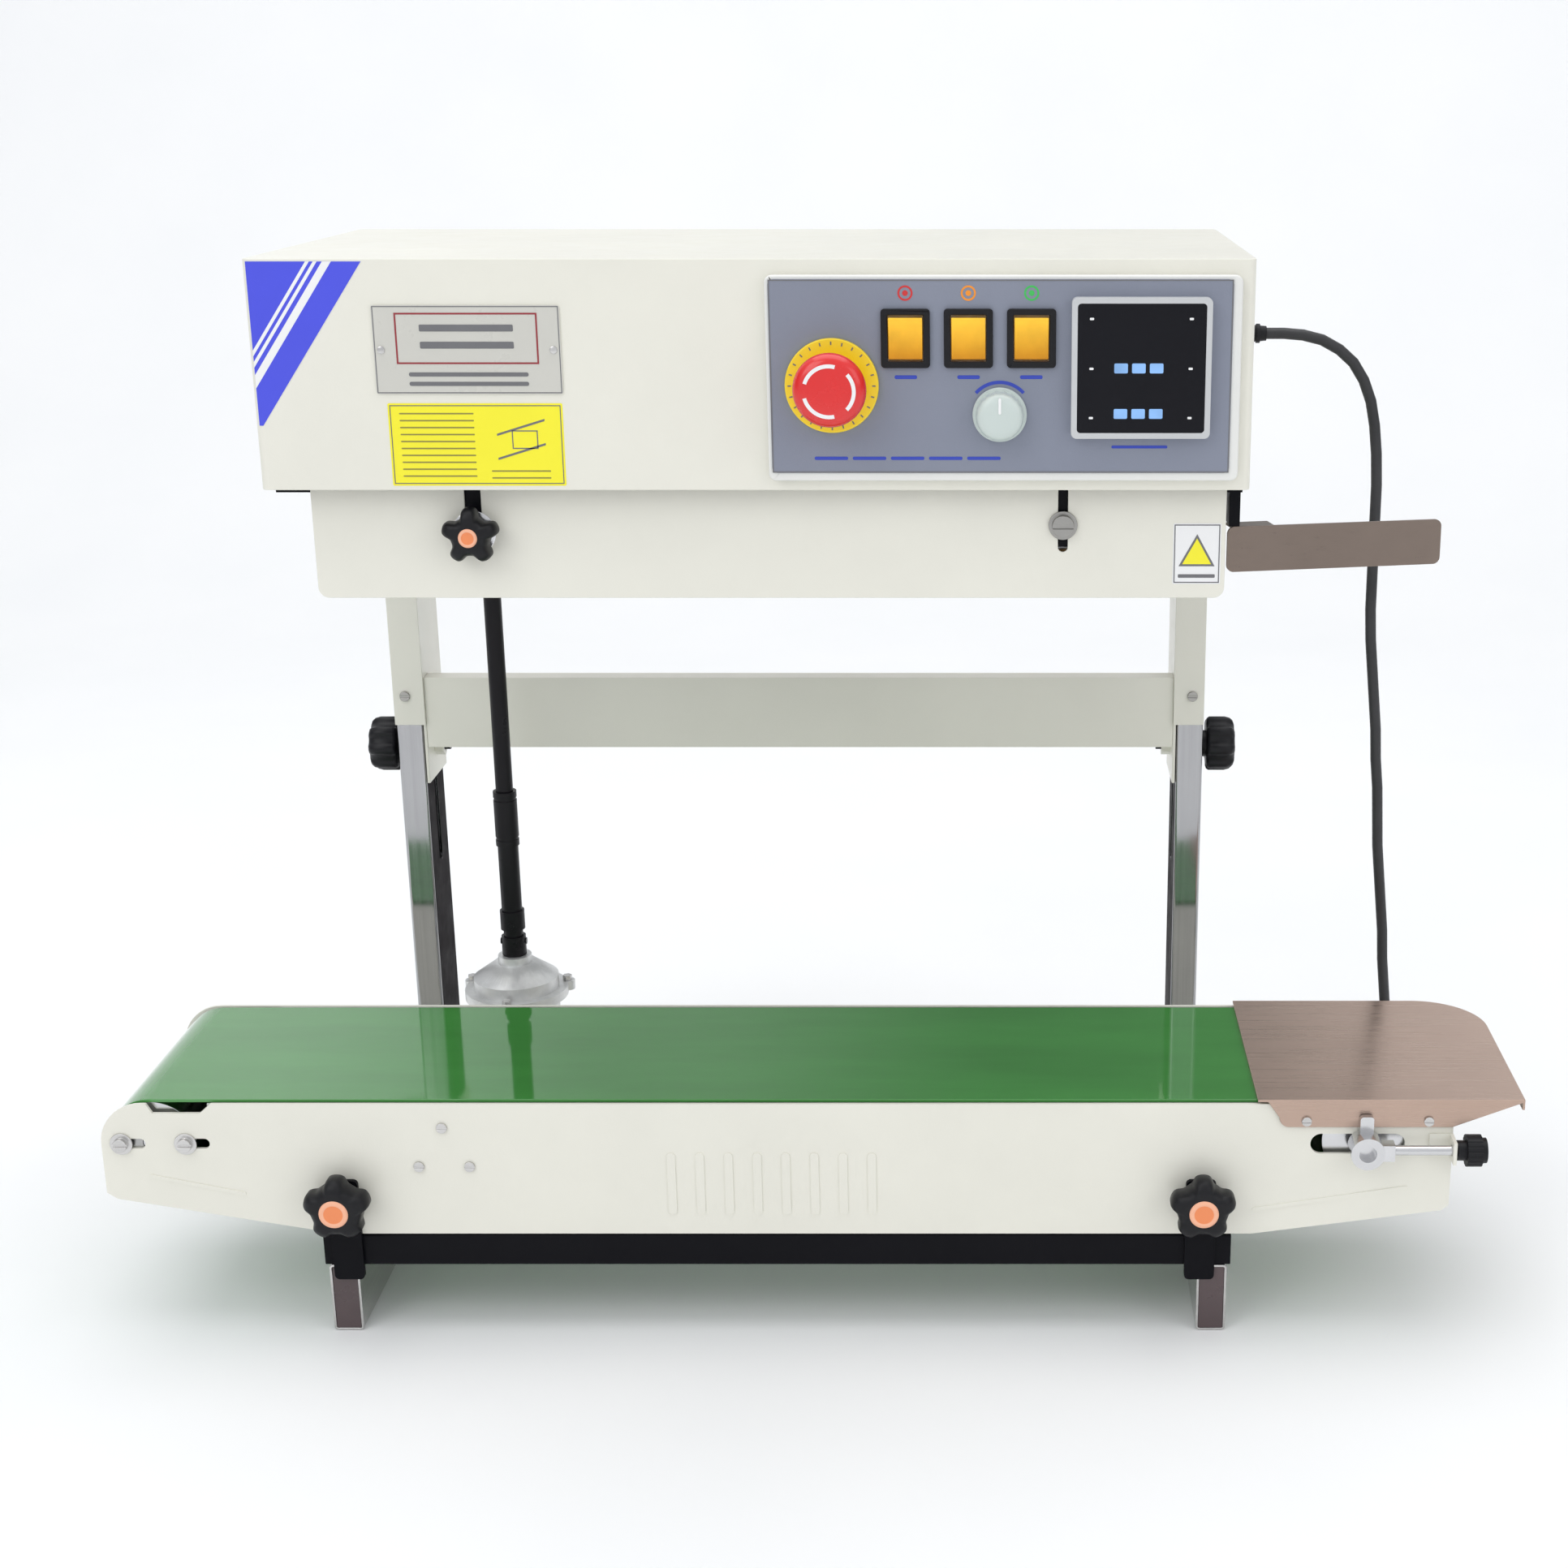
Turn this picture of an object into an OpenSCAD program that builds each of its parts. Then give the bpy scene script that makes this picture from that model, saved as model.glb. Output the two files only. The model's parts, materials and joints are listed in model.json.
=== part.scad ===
/* [Frame] */
// Width of the rectangular stainless tubes of the feet and uprights
tube_w = 18; // [16:1:20]
// Depth of the upright tubes, front to back
post_d = 48; // [44:1:52]
// Height of the foot tubes
foot_h = 44; // [42:1:45]
// Wall thickness of the tubes
tube_wall = 1.5; // [1.2:0.1:2]
// Distance between the centre planes of the two uprights
post_pitch = 522; // [518:1:526]

/* [Conveyor] */
// Height of the belt's upper surface above the table
belt_top = 151; // [149:1:153]
// Thickness of the conveyor belt
belt_t = 2; // [1.5:0.25:2.5]
// Width of the conveyor belt
belt_w = 142; // [130:1:144]
// Outside diameter of the rollers at the conveyor's ends
end_roller_d = 50; // [46:1:51]
// Thickness of the conveyor's side plates
plate_t = 2; // [1.5:0.1:2.4]
// Thickness of the stainless infeed tray
tray_t = 1.5; // [1:0.1:2]

/* [Head] */
// Width of the head housing
head_w = 537; // [530:1:540]
// Height of the head housing
head_h = 123; // [120:1:125]
// Sheet thickness of the head housing
head_t = 2; // [1.5:0.1:2.5]
// Thickness of the plate that carries the sealing mechanism
mech_t = 4; // [3:0.5:5]
// Height of the lower cover
cover_h = 62; // [58:1:63]

/* [Sealing line] */
// Width of the two sealing bands
band_w = 15; // [12:1:16]
// Thickness of the sealing bands
band_t = 0.5; // [0.4:0.1:0.6]
// Inner radius of the sealing bands round their wheels
band_r = 25; // [24:0.5:26]
// Distance between the axes of a band's two wheels
wheel_pitch = 306; // [300:1:310]
// Length of each heating block
heater_l = 96; // [80:1:100]
// Length of each cooling block
cooler_l = 60; // [50:1:64]

/* [Controls] */
// Outside width of a rocker switch bezel
rocker_w = 26; // [25:0.5:27]
// Outside height of a rocker switch bezel
rocker_h = 31; // [30:0.5:32]
// Diameter of the emergency stop mushroom
stop_d = 39; // [36:1:42]
// Diameter of the speed knob
speed_d = 26; // [24:1:28]
// Side length of the temperature controller's face
meter_w = 74; // [72:1:76]

/* [Knobs] */
// Diameter of the two lower star knobs
foot_knob_d = 40; // [38:1:42]
// Diameter of the lower cover's star knob
cover_knob_d = 32; // [30:1:34]
// Diameter of the side clamping knobs
side_knob_d = 38; // [36:1:40]

/* [Hidden] */
big = 60;
round_n = 48;
fine_n = 72;
small_n = 24;
eps = 0.01;
front_y = -150;
post_x0 = -22;
post_y = 97;
post_z1 = 430;
foot_y1 = 185;
gap = 0.4;
sheet = 2;
bolt_r = 4;
clear_r = 4.3;
run_gap = 0.05;

// frame
bar_h = 20;
bar_x0 = -294;
bar_x1 = 250;
knob_z = 90;
foot_knob_x = [-279, 231];
bracket_w = 18;
bracket_t = 3;
foot_knob_y = front_y - bracket_t - 2.4;
foot_knob_h = 19;
cover_knob_h = 17;
slot_z0 = 214;
slot_z1 = 306;
side_z = 293;

// conveyor outline
plate_x0 = -420;
plate_x1 = 379;
plate_z0 = 65;
plate_top = belt_top - 1.5;
rear_y = 1.5;
lip_x0 = -280;
lip_l = 536;
lip_d = 12;
bearing_screw_xs = [-408, -370];
roller_x0 = -390;
roller_x1 = 327;
roller_z = belt_top - belt_t - end_roller_d / 2;
belt_y0 = front_y + plate_t + 1.5;
roller_clear = 0.3;
drive_x = -216;
drive_d = 38;
drive_z = roller_z - end_roller_d / 2 + roller_clear + drive_d / 2;
axle_r = 6;
slot_r = axle_r + 0.4;
slot_x0 = 295;
slot_x1 = 351;
tray_x0 = 263;
tray_x1 = 420;
tray_z = belt_top + 0.5;
rod_y = front_y - 9;
rod_r = 3;

// cardan shaft
shaft_x = -212;
shaft_y = 50;
box_z1 = 152;
gearbox_r = 28;
gearbox_ears = [20, 160, 270];
shaft_rod_r = 5.6;
stub_r = 5;
shaft_sleeve_z1 = 281;

// head
head_x0 = -290;
head_x1 = head_x0 + head_w;
head_z0 = 513;
head_y1 = post_y - gap - sheet;
mech_z1 = head_z0 - 0.5;
mech_z0 = mech_z1 - mech_t;
cover_x0 = -268;
cover_x1 = 236;
cover_y = -135;
cover_z1 = 512;
cover_z0 = cover_z1 - cover_h;
cover_knob_x = -179;
cover_knob_y = cover_y - 1.2;
cover_knob_z = 487;
cover_knob_slot_z = 480.5;
cover_screw_x = 146;
cover_screw_z = 491;
cover_screw_slot_z = 478.7;
motor_x = 78;
motor_y = 10;
panel_x0 = -13.5;
panel_w = 253;
panel_z0 = 519;
panel_h = 109;
panel_d = 6;
panel_y = front_y - panel_d;
plate_y = panel_y - 1;

// sealing line
slit_y = -75;
seal_z = 468;
wheel_x = -16;
wheel_r = band_r - roller_clear;
wheel_xs = [wheel_x - wheel_pitch / 2, wheel_x + wheel_pitch / 2];
press_x = wheel_x - 96;
press_r = 16;
rail_z0 = 464;
rail_h = 25.5;
front_axis_y = slit_y - band_t - band_r;
rear_axis_y = slit_y + gap + band_t + band_r;
front_press_y = slit_y - band_t - roller_clear - press_r;
rear_press_y = slit_y + gap + band_t + roller_clear + press_r;
heater_x0 = 10;
cooler_x0 = -72;
block_d = 18;
block_h = 12;
// controls
stop_x = 21.6;
stop_z = 570.6;
stop_bore_r = 8.4;
rocker_xs = [61, 94.4, 127.8];
rocker_z = 595.3;
rocker_half = 9;
speed_x = 111;
speed_z = 555;
meter_x = 186;
meter_z = 580;

// cord
gland_y = 60;
gland_z = 575;
cord_r = 3.5;
cord_sides = 10;
gland_len = 30;
coil_x = 340;
coil_y = 100;
coil_r = 40;
plug_x = coil_x - coil_r - 2 * cord_r;
cord_path = [[277.1, 60, 575], [288, 60, 575], [300, 60, 574], [312, 60, 571], [323, 60, 565],
  [332, 60, 557], [339, 60, 546], [344, 60, 533], [347, 60, 518], [349, 60, 500],
  [350, 60, 480], [350, 60, 460], [350, 60, 440], [350, 60, 420], [350, 60, 400],
  [351, 60, 380], [353, 60, 360], [355, 60, 340], [357, 60, 320], [358, 60, 300],
  [360, 60, 280], [361, 60, 260], [362, 60, 240], [364, 60, 220], [366, 60, 200],
  [368, 60, 180], [369, 60, 160], [371, 60, 140], [373, 60, 120], [375, 60, 100],
  [377, 60, 80], [379, 61, 62], [381, 63, 46], [383, 67, 32], [385, 74, 20], [386, 84, 11],
  [387, 95, 6], [387, 106, 4], [385, 116, 3.6]];

function unit(v) = v / norm(v);
function path_dir(p, i) = unit(p[min(i + 1, len(p) - 1)] - p[max(i - 1, 0)]);
function side_dir(d) = unit(cross(d, abs(d[1]) > 0.9 ? [1, 0, 0] : [0, 1, 0]));
function ring_point(c, d, r, a) = c + r * cos(a) * side_dir(d) + r * sin(a) * cross(side_dir(d), d);
function sweep_points(p, r, n) = [for (i = [0:len(p) - 1]) for (k = [0:n - 1])
  ring_point(p[i], path_dir(p, i), r, 360 * k / n)];
function sweep_sides(m, n) = [for (i = [0:m - 2]) for (k = [0:n - 1])
  [i * n + k, i * n + (k + 1) % n, (i + 1) * n + (k + 1) % n, (i + 1) * n + k]];
function sweep_ends(m, n) = [[for (k = [n - 1:-1:0]) k], [for (k = [0:n - 1]) (m - 1) * n + k]];

// flat helpers

module rounded_rect(w, h, r) {
  square([w - 2 * r, h], center = true);
  square([w, h - 2 * r], center = true);
  for (sx = [-1, 1])
    for (sy = [-1, 1])
      translate([sx * (w / 2 - r), sy * (h / 2 - r)])
        circle(r = r, $fn = small_n);
}

// a rounded plate that stands in the XZ plane, its face towards the front
module front_slab(x0, z0, w, h, t, r, y_front) {
  translate([x0 + w / 2, y_front + t, z0 + h / 2])
    rotate([90, 0, 0])
      linear_extrude(height = t)
        rounded_rect(w, h, r);
}

// a round bar along Y that starts at y_front and runs backwards
module front_bar_round(x, z, r, y_front, len, n = round_n) {
  translate([x, y_front, z])
    rotate([-90, 0, 0])
      cylinder(r = r, h = len, $fn = n);
}

module side_bar_round(x0, y, z, r, len, n = round_n) {
  translate([x0, y, z])
    rotate([0, 90, 0])
      cylinder(r = r, h = len, $fn = n);
}

// star knob outline: a disc with five hollow flutes, one lobe up
module star_outline(d) {
  flute_at = 0.6 * d;
  flute_r = 0.262 * d;
  difference() {
    circle(d = d, $fn = fine_n);
    for (i = [0:4])
      rotate(90 + 36 + 72 * i)
        translate([flute_at, 0])
          circle(r = flute_r, $fn = round_n);
  }
}

// star knob with its stud along -Z, standing on z = 0
module star_knob(d, h, stud_r, stud_l) {
  neck_h = 0.22 * h;
  crown_h = 0.16 * h;
  pocket_r = 0.245 * d;
  difference() {
    union() {
      cylinder(d = 0.5 * d, h = neck_h + eps, $fn = round_n);
      translate([0, 0, neck_h])
        linear_extrude(height = h - neck_h - crown_h)
          star_outline(d);
      translate([0, 0, h - crown_h])
        linear_extrude(height = crown_h)
          star_outline(0.9 * d);
      translate([0, 0, -stud_l])
        cylinder(r = stud_r, h = stud_l + eps, $fn = small_n);
    }
    translate([0, 0, h - 2])
      cylinder(r = pocket_r, h = 3, $fn = round_n);
  }
}

module knob_cap(d, h) {
  cap_r = 0.24 * d;
  translate([0, 0, h - 2])
    cylinder(r = cap_r, h = 2.4, $fn = round_n);
  translate([0, 0, h + 0.4 - eps])
    cylinder(r = 0.8 * cap_r, h = 0.5, $fn = round_n);
}

// screw head with a straight slot, its face towards the front
module slotted_head(x, z, r, t, y_back) {
  slot_w = 0.22 * r;
  difference() {
    front_bar_round(x, z, r, y_back - t, t, small_n);
    translate([x - r - 1, y_back - t - 1, z - slot_w])
      cube([2 * r + 2, 1 + 0.4 * t, 2 * slot_w]);
  }
}

// feet and uprights

module foot_tubes() {
  color([0.72, 0.72, 0.73])
    for (s = [-1, 1])
      translate([post_x0 + s * post_pitch / 2, foot_y1, foot_h / 2])
        rotate([90, 0, 0])
          linear_extrude(height = foot_y1 - front_y)
            difference() {
              rounded_rect(tube_w, foot_h, 2.5);
              rounded_rect(tube_w - 2 * tube_wall, foot_h - 2 * tube_wall, 1);
            }
}

module foot_plugs() {
  plug_w = tube_w - 2 * tube_wall;
  plug_h = foot_h - 2 * tube_wall;
  plug_l = 12;
  color([0.12, 0.12, 0.13])
    for (s = [-1, 1])
      for (y = [front_y + plug_l + 0.5, foot_y1 - 0.5])
        translate([post_x0 + s * post_pitch / 2, y, foot_h / 2])
          rotate([90, 0, 0])
            linear_extrude(height = plug_l)
              rounded_rect(plug_w, plug_h, 1);
}

module upright_posts() {
  color([0.75, 0.75, 0.76])
    for (s = [-1, 1])
      difference() {
        translate([post_x0 + s * post_pitch / 2, post_y + post_d / 2, foot_h])
          linear_extrude(height = post_z1 - foot_h)
            difference() {
              rounded_rect(tube_w, post_d, 2.5);
              rounded_rect(tube_w - 2 * tube_wall, post_d - 2 * tube_wall, 1);
            }
        post_slot(s);
      }
}

// slot through both side walls of a post, for the clamping screw
module post_slot(s) {
  slot_r = bolt_r + 0.5;
  cut_l = tube_w + 4;
  x0 = post_x0 + s * post_pitch / 2 - cut_l / 2;
  side_bar_round(x0, post_y + post_d / 2, slot_z0, slot_r, cut_l, small_n);
  side_bar_round(x0, post_y + post_d / 2, slot_z1, slot_r, cut_l, small_n);
  translate([x0, post_y + post_d / 2 - slot_r, slot_z0])
    cube([cut_l, 2 * slot_r, slot_z1 - slot_z0]);
}

module front_bar() {
  bar_y = front_y + bar_h / 2;
  color([0.06, 0.06, 0.07])
    translate([bar_x0, bar_y, foot_h + bar_h / 2])
      rotate([90, 0, 90])
        linear_extrude(height = bar_x1 - bar_x0)
          difference() {
            rounded_rect(bar_h, bar_h, 1.5);
            rounded_rect(bar_h - 2 * tube_wall, bar_h - 2 * tube_wall, 0.8);
          }
}

// folded clips: a lug in front of the side plate and a foot on the cross bar's front
module knob_brackets() {
  lug_z0 = foot_h - 8;
  lug_z1 = knob_z + 11;
  boss_r = 9;
  boss_t = 2;
  color([0.08, 0.08, 0.09])
    for (x = foot_knob_x)
      difference() {
        union() {
          front_slab(x - bracket_w / 2, lug_z0, bracket_w, lug_z1 - lug_z0, bracket_t, 3,
            front_y - bracket_t);
          front_bar_round(x, knob_z, boss_r, front_y - bracket_t - boss_t, boss_t + 0.5);
        }
        front_bar_round(x, knob_z, clear_r, front_y - 9, 16, small_n);
      }
}

module foot_knob(x) {
  color([0.06, 0.06, 0.07])
    translate([x, foot_knob_y, knob_z])
      rotate([90, 0, 0])
        star_knob(foot_knob_d, foot_knob_h, bolt_r, 14);
}

module foot_knob_cap(x) {
  color([0.93, 0.48, 0.38])
    translate([x, foot_knob_y, knob_z])
      rotate([90, 0, 0])
        knob_cap(foot_knob_d, foot_knob_h);
}

module foot_knob_left() {
  foot_knob(foot_knob_x[0]);
}

module foot_knob_right() {
  foot_knob(foot_knob_x[1]);
}

module foot_knob_left_cap() {
  foot_knob_cap(foot_knob_x[0]);
}

module foot_knob_right_cap() {
  foot_knob_cap(foot_knob_x[1]);
}

// conveyor

// outline of a side plate in its own plane: x along the machine, y upwards
module side_outline() {
  end_r = 25.5;
  polygon([[plate_x0, 92], [plate_x0 + 6, 88], [-296, 67], [-284, plate_z0], [262, plate_z0],
    [plate_x1 - 4, 80.5], [plate_x1, 84], [plate_x1, 136], [plate_x1 - 6, plate_top],
    [plate_x0 + end_r, plate_top], [plate_x0 + end_r, roller_z],
    [plate_x0, roller_z]]);
  translate([plate_x0 + end_r, roller_z])
    circle(r = end_r, $fn = fine_n);
}

module plate_holes() {
  slot_h = 6.4;
  for (x = bearing_screw_xs) {
    translate([x - 3, roller_z - slot_h / 2])
      square([14, slot_h]);
    translate([x + 11, roller_z])
      circle(d = slot_h, $fn = small_n);
  }
  for (x = [slot_x0 + slot_r, slot_x1 - slot_r])
    translate([x, roller_z])
      circle(r = slot_r, $fn = round_n);
  translate([slot_x0 + slot_r, roller_z - slot_r])
    square([slot_x1 - slot_x0 - 2 * slot_r, 2 * slot_r]);
  for (x = foot_knob_x)
    translate([x, knob_z])
      circle(r = clear_r, $fn = small_n);
}

module conveyor_front_plate() {
  rib_h = 40;
  rib_w = 5;
  rib_pitch = 17;
  rib_rise = 0.7;
  ear_t = 2;
  color([0.9, 0.9, 0.86]) {
    translate([0, front_y + plate_t, 0])
      rotate([90, 0, 0])
        linear_extrude(height = plate_t)
          difference() {
            side_outline();
            plate_holes();
            polygon([[-392, plate_top + 1], [-388, 143.5], [-360, 143.5], [-352, plate_top + 1]]);
          }
    translate([lip_x0, front_y + plate_t - eps, plate_z0])
      cube([lip_l, lip_d, plate_t]);
    for (i = [0:7])
      front_slab(-86 + rib_pitch * i, 78, rib_w, rib_h, rib_rise + eps, 2.2, front_y - rib_rise);
    pressed_line(262, 81, 93, 9);
    pressed_line(-393, 103, 57, -12);
    difference() {
      union() {
        translate([plate_x1 - ear_t, front_y - 15, roller_z - 7])
          cube([ear_t, 15 + eps, 14]);
        translate([plate_x1 - 14, front_y - 1.5, roller_z - 7])
          cube([13, 1.5 + eps, 14]);
      }
      side_bar_round(plate_x1 - 8, rod_y, roller_z, rod_r + 0.35, 16, small_n);
    }
  }
}

// a low stiffening crease in the sheet, starting at x, z and rising at an angle
module pressed_line(x, z, l, angle) {
  translate([x, front_y + eps, z])
    rotate([90, -angle, 0])
      linear_extrude(height = 0.5)
        translate([l / 2, 0])
          rounded_rect(l, 2.4, 1);
}

module conveyor_rear_plate() {
  color([0.9, 0.9, 0.86])
    difference() {
      union() {
        translate([0, rear_y + plate_t, 0])
          rotate([90, 0, 0])
            linear_extrude(height = plate_t)
              difference() {
                side_outline();
                plate_holes();
              }
        translate([lip_x0, rear_y - lip_d, plate_z0])
          cube([lip_l, lip_d + eps, plate_t]);
      }
      front_bar_round(drive_x, drive_z, axle_r + 1, rear_y - 2, 8, small_n);
    }
}

module slider_bed() {
  bed_t = 2;
  bed_x0 = -356;
  bed_x1 = 292;
  bed_top = belt_top - belt_t - 0.05;
  leg_h = 8;
  stay_xs = [-130, 0, 130];
  color([0.6, 0.61, 0.62]) {
    translate([bed_x0, front_y + plate_t, bed_top - bed_t])
      cube([bed_x1 - bed_x0, rear_y - front_y - plate_t, bed_t]);
    for (y = [front_y + plate_t, rear_y - bed_t])
      translate([bed_x0, y, bed_top - bed_t - leg_h])
        cube([bed_x1 - bed_x0, bed_t, leg_h + eps]);
    for (x = stay_xs)
      translate([x, front_y + plate_t, bed_top - bed_t - leg_h])
        cube([bed_t, rear_y - front_y - plate_t, leg_h + eps]);
  }
}

module belt_loop(r) {
  translate([roller_x0, roller_z])
    circle(r = r, $fn = fine_n);
  translate([roller_x1, roller_z])
    circle(r = r, $fn = fine_n);
  translate([roller_x0, roller_z - r])
    square([roller_x1 - roller_x0, 2 * r]);
}

module conveyor_belt() {
  color([0.2, 0.5, 0.28])
    translate([0, belt_y0 + belt_w, 0])
      rotate([90, 0, 0])
        linear_extrude(height = belt_w)
          difference() {
            belt_loop(end_roller_d / 2 + belt_t);
            belt_loop(end_roller_d / 2);
          }
}

// a roller with its two journals
module roller(x, z, r, journal_r, y0, y1) {
  front_bar_round(x, z, r, belt_y0 + 1, belt_w - 2);
  front_bar_round(x, z, journal_r, y0, y1 - y0, small_n);
}

module end_roller() {
  color([0.78, 0.78, 0.8])
    roller(roller_x0, roller_z, end_roller_d / 2 - roller_clear, axle_r,
      front_y + plate_t + 0.3, rear_y - 0.3);
}

// bearing plates screwed to the inside of the side plates
module roller_bearings() {
  arm_t = 1.2;
  color([0.45, 0.46, 0.48])
    for (y = [front_y + plate_t + arm_t, rear_y])
      translate([0, y, 0])
        rotate([90, 0, 0])
          linear_extrude(height = arm_t)
            difference() {
              union() {
                translate([-390, roller_z])
                  rounded_rect(46, 22, 4);
                translate([drive_x, drive_z])
                  circle(r = 20, $fn = round_n);
              }
              translate([roller_x0, roller_z])
                circle(r = axle_r + run_gap, $fn = round_n);
              translate([drive_x, drive_z])
                circle(r = axle_r + run_gap, $fn = round_n);
            }
}

// slotted screws and cap screws that hold the conveyor's own pieces
module conveyor_screws() {
  color([0.75, 0.75, 0.77]) {
    for (x = bearing_screw_xs) {
      slotted_head(x, roller_z, 4.2, 3, front_y - 1.2);
      front_bar_round(x, roller_z, 6.7, front_y - 1.2 - eps, 1.2 + eps);
      front_bar_round(x, roller_z, 2.5, front_y - eps, plate_t + eps, small_n);
    }
    for (p = [[-2, 16], [-17, -9], [13, -9]])
      slotted_head(drive_x + p[0], drive_z + p[1], 3.2, 1.6, front_y);
    for (x = [292, 364])
      slotted_head(x, tray_z - 12, 3, 1.6, front_y - 2);
    for (a = gearbox_ears)
      rotate_about(shaft_x, shaft_y, a)
        translate([gearbox_r + 6, 0, box_z1 - 8])
          cylinder(r = 3.2, h = 3.5, $fn = 6);
  }
}

// rubber-faced drive roller with three shallow grooves; its journal runs into the gearbox
module drive_roller() {
  groove_d = 0.8;
  color([0.3, 0.3, 0.32])
    difference() {
      roller(drive_x, drive_z, drive_d / 2, axle_r, front_y + plate_t + 0.3, 16);
      for (y = [-122, -75, -28])
        difference() {
          front_bar_round(drive_x, drive_z, drive_d / 2 + 1, y, 2.4);
          front_bar_round(drive_x, drive_z, drive_d / 2 - groove_d, y - 1, 5);
        }
    }
}

module tension_roller() {
  shell_y0 = belt_y0 + 1;
  color([0.78, 0.78, 0.8])
    difference() {
      front_bar_round(roller_x1, roller_z, end_roller_d / 2 - roller_clear, shell_y0, belt_w - 2);
      front_bar_round(roller_x1, roller_z, axle_r + run_gap, shell_y0 - 1, belt_w);
    }
}

// non-turning axle of the tension roller with its collar and lug in front of the side plate
module tension_block() {
  collar_r = 10;
  collar_y = front_y - 15;
  color([0.8, 0.8, 0.82])
    difference() {
      union() {
        front_bar_round(roller_x1, roller_z, axle_r, front_y - 2, rear_y - front_y + 6, round_n);
        front_bar_round(roller_x1, roller_z, collar_r, collar_y, 14.5);
        front_slab(roller_x1 - 4, roller_z, 8, 20, 4, 2, front_y - 6.6);
        translate([roller_x1 + 8, rod_y - 5, roller_z - 5])
          cube([8, 8.5, 10]);
      }
      front_bar_round(roller_x1, roller_z, 5.2, collar_y - 1, 7);
      side_bar_round(roller_x1 + 6, rod_y, roller_z, rod_r + 0.35, 14, small_n);
    }
}

// screw that pulls the block, with its knurled two-step knob
module tension_rod() {
  flutes = 20;
  knob_x = plate_x1 + 1;
  side_bar_round(roller_x1 + 10.4, rod_y, roller_z, rod_r, knob_x - roller_x1 - 10, small_n);
  color([0.08, 0.08, 0.09])
    translate([knob_x, rod_y, roller_z])
      rotate([0, 90, 0]) {
        cylinder(r = 6, h = 5 + eps, $fn = round_n);
        translate([0, 0, 5])
          linear_extrude(height = 9)
            difference() {
              circle(r = 9.5, $fn = fine_n);
              for (i = [0:flutes - 1])
                rotate(360 * i / flutes)
                  translate([9.8, 0])
                    circle(r = 0.8, $fn = 12);
            }
        translate([0, 0, 14 - eps])
          cylinder(r = 7.5, h = 3, $fn = round_n);
      }
}

// outline of the tray seen from above
module tray_outline() {
  corner_r = 42;
  tray_y1 = 2;
  w = tray_x1 - tray_x0;
  d = tray_y1 - front_y + 2;
  translate([tray_x0, front_y - 2])
    difference() {
      square([w, d]);
      translate([w - corner_r, d - corner_r])
        square([corner_r + 1, corner_r + 1]);
    }
  translate([tray_x1 - corner_r, tray_y1 - corner_r])
    intersection() {
      circle(r = corner_r, $fn = fine_n);
      square([corner_r, corner_r]);
    }
}

module infeed_tray() {
  flange_h = 16;
  flange_x0 = 276;
  color([0.72, 0.68, 0.65]) {
    translate([0, 0, tray_z])
      linear_extrude(height = tray_t)
        tray_outline();
    translate([0, front_y - 2 + tray_t, 0])
      rotate([90, 0, 0])
        linear_extrude(height = tray_t) {
          polygon([[flange_x0 + 6, tray_z - flange_h], [378, tray_z - flange_h], [tray_x1, tray_z],
            [tray_x1, tray_z + eps], [tray_x0 + 6, tray_z + eps], [flange_x0, tray_z - flange_h + 6]]);
          translate([flange_x0 + 6, tray_z - flange_h + 6])
            circle(r = 6, $fn = small_n);
        }
    translate([tray_x1 - tray_t, front_y - 2, tray_z - 5])
      cube([tray_t, 110, 5 + eps]);
  }
}

// drive gearbox behind the conveyor

module gearbox_housing() {
  foot_t = 6;
  rim_z = box_z1 - 14;
  color([0.66, 0.67, 0.67])
    difference() {
      union() {
        translate([shaft_x, shaft_y, 92])
          cylinder(r = gearbox_r, h = box_z1 - 92 + eps, $fn = fine_n);
        translate([shaft_x, shaft_y, rim_z])
          cylinder(r = gearbox_r + 6, h = 6, $fn = fine_n);
        translate([shaft_x, shaft_y, box_z1 - eps])
          cylinder(r1 = gearbox_r, r2 = 14, h = 10, $fn = fine_n);
        translate([shaft_x, shaft_y, box_z1 + 9])
          cylinder(r = 11, h = 6, $fn = round_n);
        front_bar_round(drive_x, drive_z, 20, rear_y + plate_t, 26);
        front_slab(drive_x - 27, drive_z - 27, 54, 54, foot_t, 6, rear_y + plate_t);
        for (a = gearbox_ears)
          rotate_about(shaft_x, shaft_y, a)
            translate([gearbox_r + 6, 0, rim_z])
              cylinder(r = 5, h = 6, $fn = small_n);
      }
      translate([shaft_x, shaft_y, box_z1 - 20])
        cylinder(r = stub_r + run_gap, h = big, $fn = round_n);
      front_bar_round(drive_x, drive_z, axle_r + run_gap, -8, 26);
    }
}

module rotate_about(x, y, a) {
  translate([x, y, 0])
    rotate(a)
      children();
}

// a cardan joint drawn straight: two forks and the pin between them
module cardan_joint(z0) {
  fork_h = 13;
  neck_h = 5;
  translate([shaft_x, shaft_y, z0])
    cylinder(r = 8, h = fork_h, $fn = round_n);
  translate([shaft_x, shaft_y, z0 + fork_h - eps])
    cylinder(r = 6.4, h = neck_h + 2 * eps, $fn = round_n);
  translate([shaft_x, shaft_y, z0 + fork_h + neck_h])
    cylinder(r = 8, h = fork_h, $fn = round_n);
  side_bar_round(shaft_x - 8.6, shaft_y, z0 + fork_h - 4, 2.2, 17.2, small_n);
  front_bar_round(shaft_x, z0 + fork_h + neck_h + 4, 2.2, shaft_y - 8.6, 17.2, small_n);
}

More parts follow.
